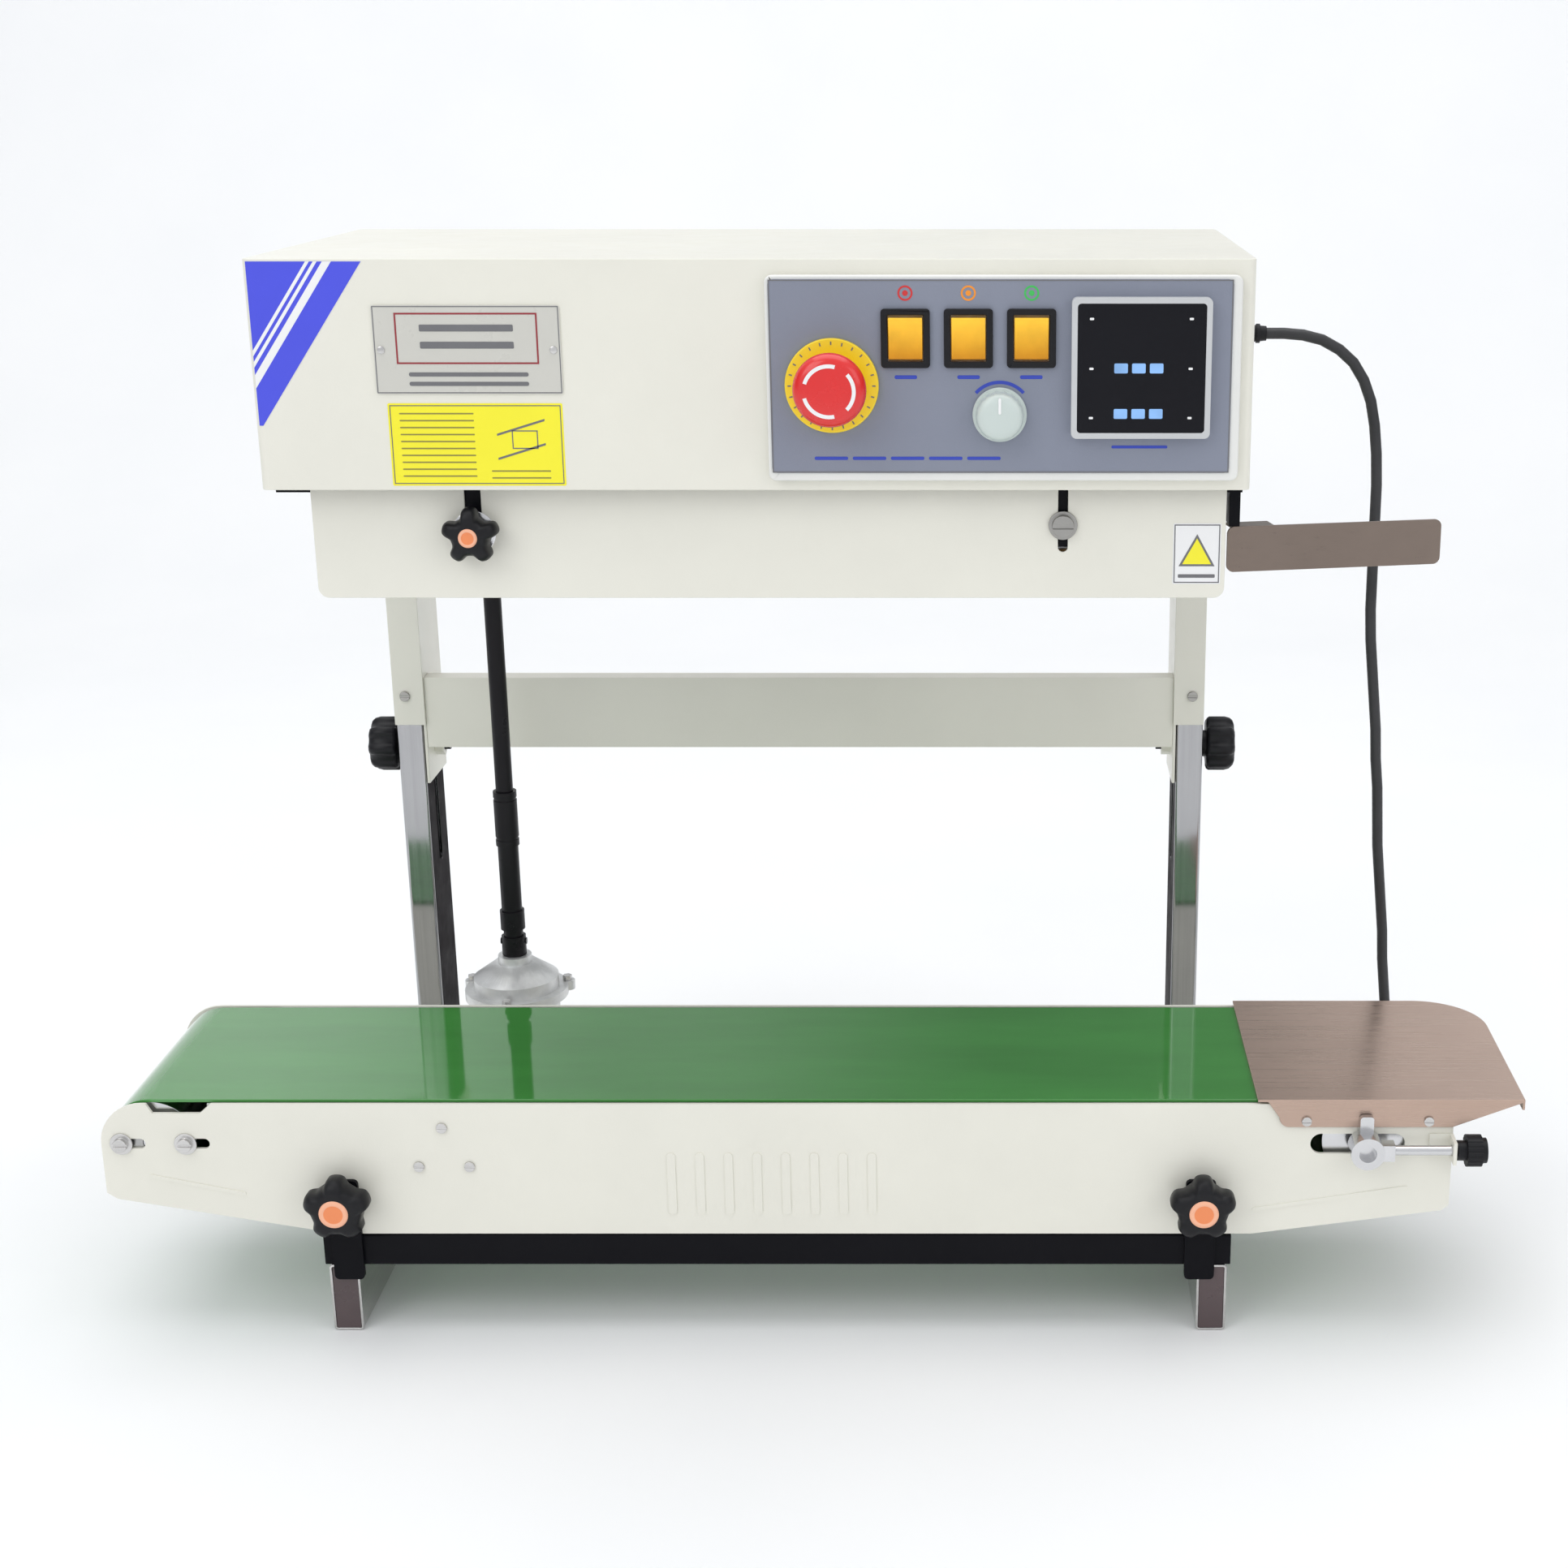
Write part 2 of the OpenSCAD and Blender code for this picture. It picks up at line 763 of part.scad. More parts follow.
// lower half of the telescopic cardan shaft: stub, joint and bored tube with its end sleeve
module lower_shaft() {
  joint_z = box_z1 + 15.5;
  tube_z = joint_z + 30;
  sleeve_z0 = 244;
  color([0.07, 0.07, 0.08])
    difference() {
      union() {
        translate([shaft_x, shaft_y, box_z1 - 19])
          cylinder(r = stub_r, h = joint_z - box_z1 + 19 + eps, $fn = round_n);
        cardan_joint(joint_z);
        translate([shaft_x, shaft_y, tube_z])
          cylinder(r = 6.7, h = sleeve_z0 - tube_z + eps, $fn = round_n);
        translate([shaft_x, shaft_y, sleeve_z0])
          cylinder(r = 7.6, h = shaft_sleeve_z1 - sleeve_z0, $fn = round_n);
      }
      translate([shaft_x, shaft_y, joint_z + 6])
        cylinder(r = shaft_rod_r + run_gap, h = 200, $fn = round_n);
      for (z = [sleeve_z0 + 4, shaft_sleeve_z1 - 6])
        translate([shaft_x, shaft_y, z])
          difference() {
            cylinder(r = 9, h = 2, $fn = round_n);
            translate([0, 0, -1])
              cylinder(r = 7.1, h = 4, $fn = round_n);
          }
    }
}

// upper half: the rod that slides in the tube, its joint and the driven wheel in the head
module upper_shaft() {
  rod_z0 = 251;
  joint_z = 442;
  wheel_z = head_z0 + 20;
  teeth = 24;
  color([0.07, 0.07, 0.08]) {
    translate([shaft_x, shaft_y, rod_z0])
      cylinder(r = shaft_rod_r, h = joint_z - rod_z0 + eps, $fn = round_n);
    cardan_joint(joint_z);
    translate([shaft_x, shaft_y, joint_z + 30])
      cylinder(r = stub_r, h = 92, $fn = round_n);
    translate([shaft_x, shaft_y, wheel_z])
      linear_extrude(height = 5)
        difference() {
          circle(r = 21, $fn = fine_n);
          for (i = [0:teeth - 1])
            rotate(360 * i / teeth)
              translate([21.4, 0])
                circle(r = 1.7, $fn = 12);
        }
  }
}

// height adjustment of the head

module upright_channels() {
  web_z0 = 272;
  flange_z0 = 313;
  top_z = 600;
  color([0.9, 0.9, 0.86])
    for (s = [-1, 1]) {
      inner_x = post_x0 + s * (post_pitch / 2 - tube_w / 2 - gap);
      outer_x = post_x0 + s * (post_pitch / 2 + tube_w / 2);
      web_x = min(inner_x, inner_x - s * sheet);
      difference() {
        union() {
          translate([web_x, post_y - gap - sheet, flange_z0])
            cube([sheet, post_d + 2 * gap + 2 * sheet, top_z - flange_z0]);
          translate([web_x, post_y - gap, web_z0])
            cube([sheet, post_d + 2 * gap, flange_z0 - web_z0 + eps]);
          translate([min(inner_x, outer_x), post_y - gap - sheet, flange_z0])
            cube([abs(outer_x - inner_x), sheet, top_z - flange_z0]);
          translate([min(inner_x, outer_x), post_y + post_d + gap, flange_z0])
            cube([abs(outer_x - inner_x), sheet, top_z - flange_z0]);
          web_nut(s, web_x);
        }
        side_bar_round(web_x - 8, post_y + post_d / 2, side_z, clear_r, 20, small_n);
      }
    }
}

// welded nut on the inside of a channel's web
module web_nut(s, web_x) {
  nut_x = s < 0 ? web_x + sheet - eps : web_x - 6 + eps;
  side_bar_round(nut_x, post_y + post_d / 2, side_z, 8, 6, 6);
}

// screws in the channels' front flanges and the lower cover's washer screw
module head_screws() {
  screw_z = 333;
  color([0.7, 0.7, 0.72]) {
    for (s = [-1, 1])
      slotted_head(post_x0 + s * (post_pitch / 2 + 1), screw_z, 3.4, 1.8, post_y - gap - sheet);
    slotted_head(cover_screw_x, cover_screw_z, 6, 3.4, cover_y - 1.6);
    front_bar_round(cover_screw_x, cover_screw_z, 8, cover_y - 1.6 - eps, 1.2);
    front_bar_round(cover_screw_x, cover_screw_z, 2.3, cover_y - 0.5, 2.4, small_n);
  }
}

module cross_beam() {
  x0 = post_x0 - post_pitch / 2 + tube_w / 2 + gap + sheet;
  x1 = post_x0 + post_pitch / 2 - tube_w / 2 - gap - sheet;
  z0 = 297;
  z1 = 345;
  beam_d = 12;
  color([0.88, 0.88, 0.84]) {
    translate([x0, post_y, z0])
      cube([x1 - x0, sheet, z1 - z0]);
    for (z = [z0, z1 - sheet])
      translate([x0, post_y + sheet - eps, z])
        cube([x1 - x0, beam_d, sheet]);
    for (x = [x0, x1 - sheet])
      translate([x, post_y + sheet - eps, z0])
        cube([sheet, beam_d, z1 - z0]);
  }
}

// clamping knob with its screw through the post and the channel's web
module side_knob(s) {
  stand_off = 4;
  knob_h = 19;
  lobes = 8;
  shaft_l = tube_w + stand_off + 12;
  color([0.06, 0.06, 0.07])
    translate([post_x0 + s * (post_pitch / 2 + tube_w / 2 + stand_off), post_y + post_d / 2, side_z])
      rotate([0, 90 * s, 0]) {
        translate([0, 0, -stand_off + 0.4])
          cylinder(r = 9, h = stand_off, $fn = round_n);
        linear_extrude(height = knob_h - 3)
          difference() {
            circle(d = side_knob_d, $fn = fine_n);
            for (i = [0:lobes - 1])
              rotate(360 * i / lobes)
                translate([0.56 * side_knob_d, 0])
                  circle(r = 0.11 * side_knob_d, $fn = small_n);
          }
        translate([0, 0, knob_h - 3 - eps])
          cylinder(d = 0.82 * side_knob_d, h = 3, $fn = round_n);
        translate([0, 0, -shaft_l])
          cylinder(r = bolt_r, h = shaft_l, $fn = small_n);
      }
}

module side_knob_left() {
  side_knob(-1);
}

module side_knob_right() {
  side_knob(1);
}

// head

module head_housing() {
  depth = head_y1 - front_y;
  color([0.91, 0.91, 0.87])
    difference() {
      translate([head_x0 + head_w / 2, front_y + depth / 2, head_z0])
        linear_extrude(height = head_h)
          rounded_rect(head_w, depth, 4);
      translate([head_x0 + head_w / 2, front_y + depth / 2, head_z0 - 1])
        linear_extrude(height = head_h - head_t + 1)
          rounded_rect(head_w - 2 * head_t, depth - 2 * head_t, 2);
      for (x = [-200:14:-60])
        translate([x, head_y1 - 5, head_z0 + 60])
          cube([5, 10, 36]);
      front_bar_round(stop_x, stop_z, stop_bore_r, front_y - 1, 5, small_n);
      side_bar_round(head_x1 - 5, gland_y, gland_z, 5, 10, small_n);
    }
}

// plate that closes the head from below and carries the wheels' bearings
module mechanism_plate() {
  boss_h = 10;
  tab_h = 30;
  hanger_x = 238;
  mech_y0 = cover_y + 4;
  color([0.62, 0.63, 0.65])
    difference() {
      union() {
        translate([head_x0 + 2, mech_y0, mech_z0])
          cube([head_w - 4, head_y1 - 2 - mech_y0, mech_t]);
        for (x = wheel_xs)
          for (y = [front_axis_y, rear_axis_y])
            translate([x, y, mech_z0 - boss_h])
              cylinder(r = 11, h = boss_h + eps, $fn = round_n);
        for (x = [cover_knob_x, cover_screw_x])
          translate([x - 9, cover_y + 1.9, mech_z0 - tab_h])
            cube([18, 4, tab_h + 2]);
        translate([hanger_x, mech_y0, rail_z0 + rail_h])
          cube([6, 20, mech_z0 - rail_z0 - rail_h + eps]);
      }
      for (x = wheel_xs)
        for (y = [front_axis_y, rear_axis_y])
          translate([x, y, mech_z0 - boss_h - 1])
            cylinder(r = bolt_r + run_gap, h = 40, $fn = round_n);
      for (y = [front_press_y, rear_press_y])
        translate([press_x, y, mech_z0 - 1])
          cylinder(r = bolt_r + run_gap, h = 40, $fn = round_n);
      translate([shaft_x, shaft_y, mech_z0 - 1])
        cylinder(r = stub_r + run_gap, h = 40, $fn = round_n);
      front_bar_round(cover_knob_x, cover_knob_z, clear_r, cover_y, 12, small_n);
    }
}

// gear case and the motor that stands on it, off its middle
module drive_motor() {
  case_h = 34;
  can_h = 62;
  color([0.35, 0.36, 0.38]) {
    translate([motor_x - 18, motor_y, mech_z1])
      linear_extrude(height = case_h)
        rounded_rect(92, 80, 8);
    translate([motor_x, motor_y, mech_z1 + case_h - eps])
      cylinder(r = 31, h = can_h, $fn = round_n);
    translate([motor_x, motor_y, mech_z1 + case_h + can_h - eps])
      cylinder(r = 24, h = 8, $fn = round_n);
  }
}

module lower_cover() {
  lip = 14;
  side_d = 26;
  slot_top = cover_z1 + 1;
  w = cover_x1 - cover_x0;
  color([0.9, 0.9, 0.86])
    difference() {
      union() {
        translate([cover_x0, cover_y, cover_z0 + 6])
          cube([w, sheet - 0.5, cover_h - 6]);
        translate([cover_x0 + 6, cover_y, cover_z0])
          cube([w - 12, sheet - 0.5, 6 + eps]);
        for (x = [cover_x0 + 6, cover_x1 - 6])
          front_bar_round(x, cover_z0 + 6, 6, cover_y, sheet - 0.5, small_n);
        translate([cover_x0 + 6, cover_y, cover_z0])
          cube([w - 12, lip, sheet - 0.5]);
        for (x = [cover_x0, cover_x1 - sheet + 0.5])
          translate([x, cover_y, cover_z0 + 6])
            cube([sheet - 0.5, side_d, cover_h - 12]);
      }
      cover_slot(cover_knob_x, cover_knob_slot_z, 4.5, slot_top);
      cover_slot(cover_screw_x, cover_screw_slot_z, 2.7, slot_top);
    }
}

// open-topped slot that lets the cover be lifted off its screws
module cover_slot(x, z, r, top) {
  translate([x - r, cover_y - 5, z])
    cube([2 * r, 10, top - z]);
  front_bar_round(x, z, r, cover_y - 5, 10, small_n);
}

module cover_knob() {
  color([0.06, 0.06, 0.07])
    translate([cover_knob_x, cover_knob_y, cover_knob_z])
      rotate([90, 0, 0])
        star_knob(cover_knob_d, cover_knob_h, bolt_r, 9);
}

module cover_knob_cap() {
  color([0.9, 0.4, 0.25])
    translate([cover_knob_x, cover_knob_y, cover_knob_z])
      rotate([90, 0, 0])
        knob_cap(cover_knob_d, cover_knob_h);
}

// control panel

// windows in the panel for the switches and the stop button's stem
module panel_openings() {
  for (x = rocker_xs)
    translate([x - rocker_half - 0.4, plate_y - 1, rocker_z - 12.2])
      cube([2 * rocker_half + 0.8, panel_d + 3, 24.4]);
  front_bar_round(stop_x, stop_z, stop_bore_r, plate_y - 1, panel_d + 3);
}

module panel_frame() {
  color([0.92, 0.92, 0.9])
    difference() {
      front_slab(panel_x0, panel_z0, panel_w, panel_h, panel_d, 4, panel_y);
      panel_openings();
    }
}

module panel_plate() {
  color([0.54, 0.56, 0.64])
    difference() {
      front_slab(panel_x0 + 2, panel_z0 + 4.5, panel_w - 7, panel_h - 6.5, 1, 3, plate_y);
      panel_openings();
    }
}

module stop_ring() {
  ring_t = 4;
  color([0.95, 0.8, 0.1])
    difference() {
      union() {
        front_bar_round(stop_x, stop_z, 25, plate_y - ring_t, ring_t, fine_n);
        front_bar_round(stop_x, stop_z, 15, plate_y - 9, 9);
      }
      front_bar_round(stop_x, stop_z, stop_bore_r, plate_y - 10, 12);
    }
}

module stop_button() {
  tip_y = -185;
  stem_y1 = -152;
  r = stop_d / 2;
  color([0.8, 0.1, 0.08]) {
    front_bar_round(stop_x, stop_z, 8, tip_y + 10, stem_y1 - tip_y - 10);
    front_bar_round(stop_x, stop_z, r - 1.5, tip_y + 10, 2, fine_n);
    front_bar_round(stop_x, stop_z, r, tip_y + 3, 7 + eps, fine_n);
    front_bar_round(stop_x, stop_z, r - 1.5, tip_y + 1.2, 1.8 + eps, fine_n);
    front_bar_round(stop_x, stop_z, r - 4.5, tip_y, 1.2 + eps, fine_n);
  }
}

module rocker_bezels() {
  color([0.05, 0.05, 0.06])
    for (x = rocker_xs)
      difference() {
        front_slab(x - rocker_w / 2, rocker_z - rocker_h / 2, rocker_w, rocker_h, 2.4, 2,
          plate_y - 2.4);
        translate([x - rocker_half - 0.4, plate_y - 3, rocker_z - 12.2])
          cube([2 * rocker_half + 0.8, 4, 24.4]);
      }
}

// a rocker: two faces that meet in a shallow valley, pivoting behind its middle
module rocker(x) {
  pivot_r = 2;
  color([0.95, 0.62, 0.1]) {
    translate([x - rocker_half, plate_y, rocker_z])
      rotate([90, 0, 90])
        linear_extrude(height = 2 * rocker_half)
          polygon([[1.5, -7], [1.5, 7], [-1, 10.8], [-4.2, 11], [-4.8, 10.4], [-2.4, 0],
            [-2.6, -10.4], [-2.1, -11], [-0.6, -10.8]]);
    side_bar_round(x - rocker_half, plate_y, rocker_z, pivot_r, 2 * rocker_half, small_n);
  }
}

module rocker_power() {
  rocker(rocker_xs[0]);
}

module rocker_heat() {
  rocker(rocker_xs[1]);
}

module rocker_fan() {
  rocker(rocker_xs[2]);
}

module speed_knob() {
  flutes = 18;
  r = speed_d / 2;
  color([0.78, 0.82, 0.8]) {
    front_bar_round(speed_x, speed_z, r + 1.5, plate_y - 2.4, 2);
    translate([speed_x, plate_y - 2.3, speed_z])
      rotate([90, 0, 0])
        linear_extrude(height = 11)
          difference() {
            circle(r = r, $fn = fine_n);
            for (i = [0:flutes - 1])
              rotate(360 * i / flutes)
                translate([r + 0.4, 0])
                  circle(r = 1.2, $fn = 12);
          }
    front_bar_round(speed_x, speed_z, r - 2, plate_y - 14.6, 1.6);
    translate([speed_x - 0.8, plate_y - 15.2, speed_z])
      cube([1.6, 2, r - 3]);
  }
}

// temperature controller: bezel, recessed window and the two rows of display cells
module controller() {
  lip = 3;
  case_t = 7;
  x0 = meter_x - meter_w / 2;
  z0 = meter_z - meter_w / 2;
  inner = meter_w - 2 * lip;
  color([0.75, 0.75, 0.74])
    difference() {
      front_slab(x0, z0, meter_w, meter_w, case_t, 3, plate_y - case_t);
      front_slab(x0 + lip, z0 + lip, inner, inner, 2, 2, plate_y - case_t - 1);
    }
  color([0.3, 0.6, 0.85])
    for (row = [0, 1])
      for (i = [0:2])
        front_slab(meter_x - 14.5 + 9.3 * i, meter_z - 3 - 24 * row, 7.6, 6, 0.4 + eps, 0.8,
          plate_y - case_t + 0.6);
}

module front_plates() {
  label_t = 0.4;
  color([0.8, 0.8, 0.82])
    front_slab(-223, 565, 100, 47, 1, 2, front_y - 1);
  color([0.7, 0.7, 0.7])
    for (x = [-219, -127])
      front_bar_round(x, 588.5, 1.8, front_y - 1.8, 1, small_n);
  color([0.95, 0.9, 0.1])
    front_slab(-218, 515.5, 94, 44.5, label_t, 1, front_y - label_t);
  color([0.28, 0.31, 0.88])
    translate([0, front_y, 0])
      rotate([90, 0, 0])
        linear_extrude(height = label_t)
          polygon([[-286, 548], [-286, 635], [-226, 635], [-282, 548]]);
}

// bent guide plate in front of the bags' mouth
module guide_rail() {
  rail_l = 125;
  yaw = 11;
  rail_t = 1.5;
  color([0.55, 0.5, 0.46])
    translate([237, cover_y + 4, rail_z0])
      rotate(yaw) {
        translate([rail_l / 2, 0, rail_h / 2])
          rotate([90, 0, 0])
            linear_extrude(height = rail_t)
              rounded_rect(rail_l, rail_h, 4);
        translate([3, -rail_t, rail_h - rail_t])
          cube([24, 14, rail_t]);
      }
}

// sealing line

module band_loop_outline(r) {
  for (s = [-1, 1])
    translate([s * wheel_pitch / 2, 0])
      circle(r = r, $fn = fine_n);
  translate([-wheel_pitch / 2, -r])
    square([wheel_pitch, 2 * r]);
}

module sealing_bands() {
  color([0.6, 0.42, 0.2])
    for (y = [front_axis_y, rear_axis_y])
      translate([wheel_x, y, seal_z - band_w / 2])
        linear_extrude(height = band_w)
          difference() {
            band_loop_outline(band_r + band_t);
            band_loop_outline(band_r);
          }
}

// a band wheel with its shaft and the gear that turns it inside the head
module band_wheel(x, y) {
  rim_z = seal_z - band_w / 2;
  color([0.5, 0.5, 0.52]) {
    translate([x, y, rim_z - 1])
      cylinder(r = wheel_r, h = band_w + 1.5, $fn = fine_n);
    translate([x, y, rim_z])
      cylinder(r = bolt_r, h = head_z0 + 10 - rim_z, $fn = round_n);
    translate([x, y, rim_z - 3])
      cylinder(r = 9, h = 2 + eps, $fn = round_n);
    translate([x, y, head_z0 + 3])
      cylinder(r = 14, h = 5, $fn = 40);
  }
}

module front_drive_wheel() {
  band_wheel(wheel_xs[1], front_axis_y);
}

module rear_drive_wheel() {
  band_wheel(wheel_xs[1], rear_axis_y);
}

module front_idler_wheel() {
  band_wheel(wheel_xs[0], front_axis_y);
}

module rear_idler_wheel() {
  band_wheel(wheel_xs[0], rear_axis_y);
}

// knurled wheel that presses the hot seal flat behind the coolers
module press_wheel(y) {
  rim_z = seal_z - band_w / 2;
  notches = 24;
  color([0.35, 0.35, 0.37]) {
    translate([press_x, y, rim_z])
      linear_extrude(height = band_w)
        difference() {
          circle(r = press_r, $fn = fine_n);
          for (i = [0:notches - 1])
            rotate(360 * i / notches)
              translate([press_r + 0.3, 0])
                circle(r = 0.8, $fn = 12);
        }
    translate([press_x, y, rim_z + band_w - eps])
      cylinder(r = bolt_r, h = head_z0 + 6 - rim_z - band_w, $fn = round_n);
  }
}

module front_press_wheel() {
  press_wheel(front_press_y);
}

module rear_press_wheel() {
  press_wheel(rear_press_y);
}

// start of a block in depth, on the front (-1) or rear (1) side of the slit
function block_y(s) = s < 0 ? slit_y - band_t - roller_clear - block_d
  : slit_y + gap + band_t + roller_clear;

module block_hangers(x0, l, s) {
  for (x = [x0 + 10, x0 + l - 10])
    translate([x, block_y(s) + block_d / 2, seal_z + block_h / 2 - eps])
      cylinder(r = 3, h = mech_z0 - seal_z - block_h / 2 + eps, $fn = small_n);
}

module heater_blocks() {
  color([0.72, 0.55, 0.25])
    for (s = [-1, 1]) {
      difference() {
        translate([heater_x0, block_y(s), seal_z - block_h / 2])
          cube([heater_l, block_d, block_h]);
        side_bar_round(heater_x0 - 1, block_y(s) + block_d / 2, seal_z, 3, heater_l + 2, small_n);
      }
      block_hangers(heater_x0, heater_l, s);
    }
}

module cooling_blocks() {
  fin_pitch = 6;
  color([0.7, 0.71, 0.73])
    for (s = [-1, 1]) {
      difference() {
        translate([cooler_x0, block_y(s), seal_z - block_h / 2])
          cube([cooler_l, block_d, block_h]);
        for (x = [cooler_x0 + 20 : fin_pitch : cooler_x0 + cooler_l - 20])
          translate([x, s < 0 ? block_y(s) - 1 : block_y(s) + 7, seal_z - block_h])
            cube([3, 12, 2 * block_h]);
      }
      block_hangers(cooler_x0, cooler_l, s);
    }
}

// mains cord

// cable gland with its tapered, ribbed bend protector
module cord_gland() {
  nut_t = 6;
  sleeve_r = 6.6;
  color([0.08, 0.08, 0.09]) {
    side_bar_round(head_x1, gland_y, gland_z, 10, nut_t, 6);
    translate([head_x1 + nut_t - eps, gland_y, gland_z])
      rotate([0, 90, 0])
        cylinder(r1 = sleeve_r, r2 = cord_r + 1, h = gland_len - nut_t + eps, $fn = round_n);
    for (i = [0:3])
      side_bar_round(head_x1 + nut_t + 2.5 + 5 * i, gland_y, gland_z, sleeve_r + 0.4 - 0.35 * i, 2.4);
  }
}

module cord_coil() {
  turn_pitch = 2 * cord_r;
  color([0.12, 0.12, 0.13])
    translate([coil_x, coil_y, 0])
      rotate_extrude($fn = fine_n)
        for (i = [-1:1])
          for (k = [0, 1])
            translate([coil_r + i * turn_pitch, cord_r + 0.1 + k * turn_pitch])
              circle(r = cord_r + 0.1, $fn = small_n);
}

// moulded two-pin plug lying beside the coil, its pins towards the front
module cord_plug() {
  plug_r = 12;
  tail_z = 3 * cord_r + 0.1;
  axis_z = plug_r + 1;
  body_y = 26;
  color([0.1, 0.1, 0.11]) {
    front_bar_round(plug_x, tail_z, cord_r, 66, coil_y - 66, small_n);
    translate([plug_x, body_y + 30 - eps, axis_z])
      rotate([-90, 0, 0])
        cylinder(r1 = 6.5, r2 = 5, h = 14, $fn = round_n);
    front_bar_round(plug_x, axis_z, plug_r, body_y + 4, 26);
    front_bar_round(plug_x, axis_z, plug_r + 1, body_y, 4 + eps);
  }
  color([0.75, 0.75, 0.76])
    for (s = [-1, 1])
      front_bar_round(plug_x + 8 * s, axis_z, 2.2, body_y - 19, 19 + eps, small_n);
}

module power_cord() {
  color([0.12, 0.12, 0.13])
    polyhedron(points = sweep_points(cord_path, cord_r, cord_sides),
      faces = concat(sweep_sides(len(cord_path), cord_sides), sweep_ends(len(cord_path), cord_sides)));
}

foot_tubes();
foot_plugs();
upright_posts();
front_bar();
knob_brackets();
conveyor_front_plate();
conveyor_rear_plate();
slider_bed();
conveyor_belt();
roller_bearings();
conveyor_screws();
infeed_tray();
gearbox_housing();
power_cord();
cord_coil();
cord_plug();
foot_knob_left();
foot_knob_right();
foot_knob_left_cap();
foot_knob_right_cap();
end_roller();
drive_roller();
tension_roller();
tension_block();
tension_rod();
lower_shaft();
upper_shaft();
upright_channels();
head_screws();
cross_beam();
head_housing();
mechanism_plate();
drive_motor();
panel_frame();
panel_plate();
stop_ring();
rocker_bezels();
controller();
front_plates();
guide_rail();
sealing_bands();
heater_blocks();
cooling_blocks();
cord_gland();
side_knob_left();
side_knob_right();
lower_cover();
cover_knob();
cover_knob_cap();
stop_button();
rocker_power();
rocker_heat();
rocker_fan();
speed_knob();
front_drive_wheel();
rear_drive_wheel();
front_idler_wheel();
rear_idler_wheel();
front_press_wheel();
rear_press_wheel();
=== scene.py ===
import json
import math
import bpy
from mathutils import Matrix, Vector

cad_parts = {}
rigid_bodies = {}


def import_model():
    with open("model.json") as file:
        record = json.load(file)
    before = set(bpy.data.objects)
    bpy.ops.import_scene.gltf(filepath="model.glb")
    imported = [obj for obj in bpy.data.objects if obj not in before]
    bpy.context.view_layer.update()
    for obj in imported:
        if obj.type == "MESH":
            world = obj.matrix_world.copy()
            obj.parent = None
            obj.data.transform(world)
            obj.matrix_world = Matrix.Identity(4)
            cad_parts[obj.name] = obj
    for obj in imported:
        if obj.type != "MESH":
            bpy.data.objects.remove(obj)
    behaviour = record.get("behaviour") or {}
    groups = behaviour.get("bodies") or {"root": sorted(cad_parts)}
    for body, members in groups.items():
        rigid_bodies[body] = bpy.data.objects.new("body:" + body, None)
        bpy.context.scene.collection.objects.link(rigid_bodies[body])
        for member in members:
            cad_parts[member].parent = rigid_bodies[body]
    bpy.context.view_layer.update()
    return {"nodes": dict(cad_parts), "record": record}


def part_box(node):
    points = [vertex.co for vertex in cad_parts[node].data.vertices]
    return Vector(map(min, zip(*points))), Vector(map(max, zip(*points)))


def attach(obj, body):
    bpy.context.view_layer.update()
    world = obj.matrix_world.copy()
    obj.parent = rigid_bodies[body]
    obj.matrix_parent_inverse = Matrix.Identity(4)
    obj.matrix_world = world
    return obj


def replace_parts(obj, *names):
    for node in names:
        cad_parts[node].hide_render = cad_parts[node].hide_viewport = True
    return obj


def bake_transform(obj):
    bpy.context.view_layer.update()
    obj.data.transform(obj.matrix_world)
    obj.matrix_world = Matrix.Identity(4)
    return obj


bl_info = {
    "name": "Continuous band sealer",
    "version": (1, 0, 0),
    "blender": (4, 5, 0),
    "location": "3D View > Sidebar > Band sealer",
    "description": "Makes the visible surfaces of a bench-top continuous band sealer on its packed frame",
    "category": "Object",
}

import bmesh
import bpy
from bpy.props import FloatProperty, FloatVectorProperty, IntProperty, PointerProperty
from mathutils import Vector

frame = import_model()
NODES = frame["nodes"]
BODIES = frame["record"]["behaviour"]["bodies"]
BODY_OF = {node: body for body, nodes in BODIES.items() for node in nodes}
MM = 0.001
FRONT = Vector((0, -1, 0))
ROCKERS = ("rocker_power", "rocker_heat", "rocker_fan")


# ---------------------------------------------------------------- settings

def colour_property(name, description, default):
    """A colour setting"""
    return FloatVectorProperty(name=name, description=description, subtype="COLOR", size=3,
                               min=0.0, max=1.0, default=default)


class SealerFinishes(bpy.types.PropertyGroup):
    """Colours of the machine's finishes"""
    powder: colour_property("Powder coat", "Cream powder coat of the sheet metal", (0.79, 0.775, 0.69))
    belt: colour_property("Belt", "Glossy conveyor belt", (0.055, 0.25, 0.05))
    panel: colour_property("Panel film", "Printed film of the control panel", (0.225, 0.245, 0.31))
    decal: colour_property("Corner decal", "Blue corner decal", (0.06, 0.075, 0.72))
    label: colour_property("Label", "Yellow instruction label", (0.93, 0.85, 0.02))
    cap: colour_property("Knob caps", "Orange caps of the star knobs", (0.88, 0.27, 0.1))
    stop_red: colour_property("Stop button", "Red mushroom button", (0.72, 0.012, 0.012))
    stop_yellow: colour_property("Stop ring", "Yellow ring of the stop button", (0.93, 0.68, 0.012))
    amber: colour_property("Rockers", "Lit amber rockers", (0.93, 0.37, 0.012))
    display: colour_property("Display", "Display segments", (0.22, 0.4, 0.7))


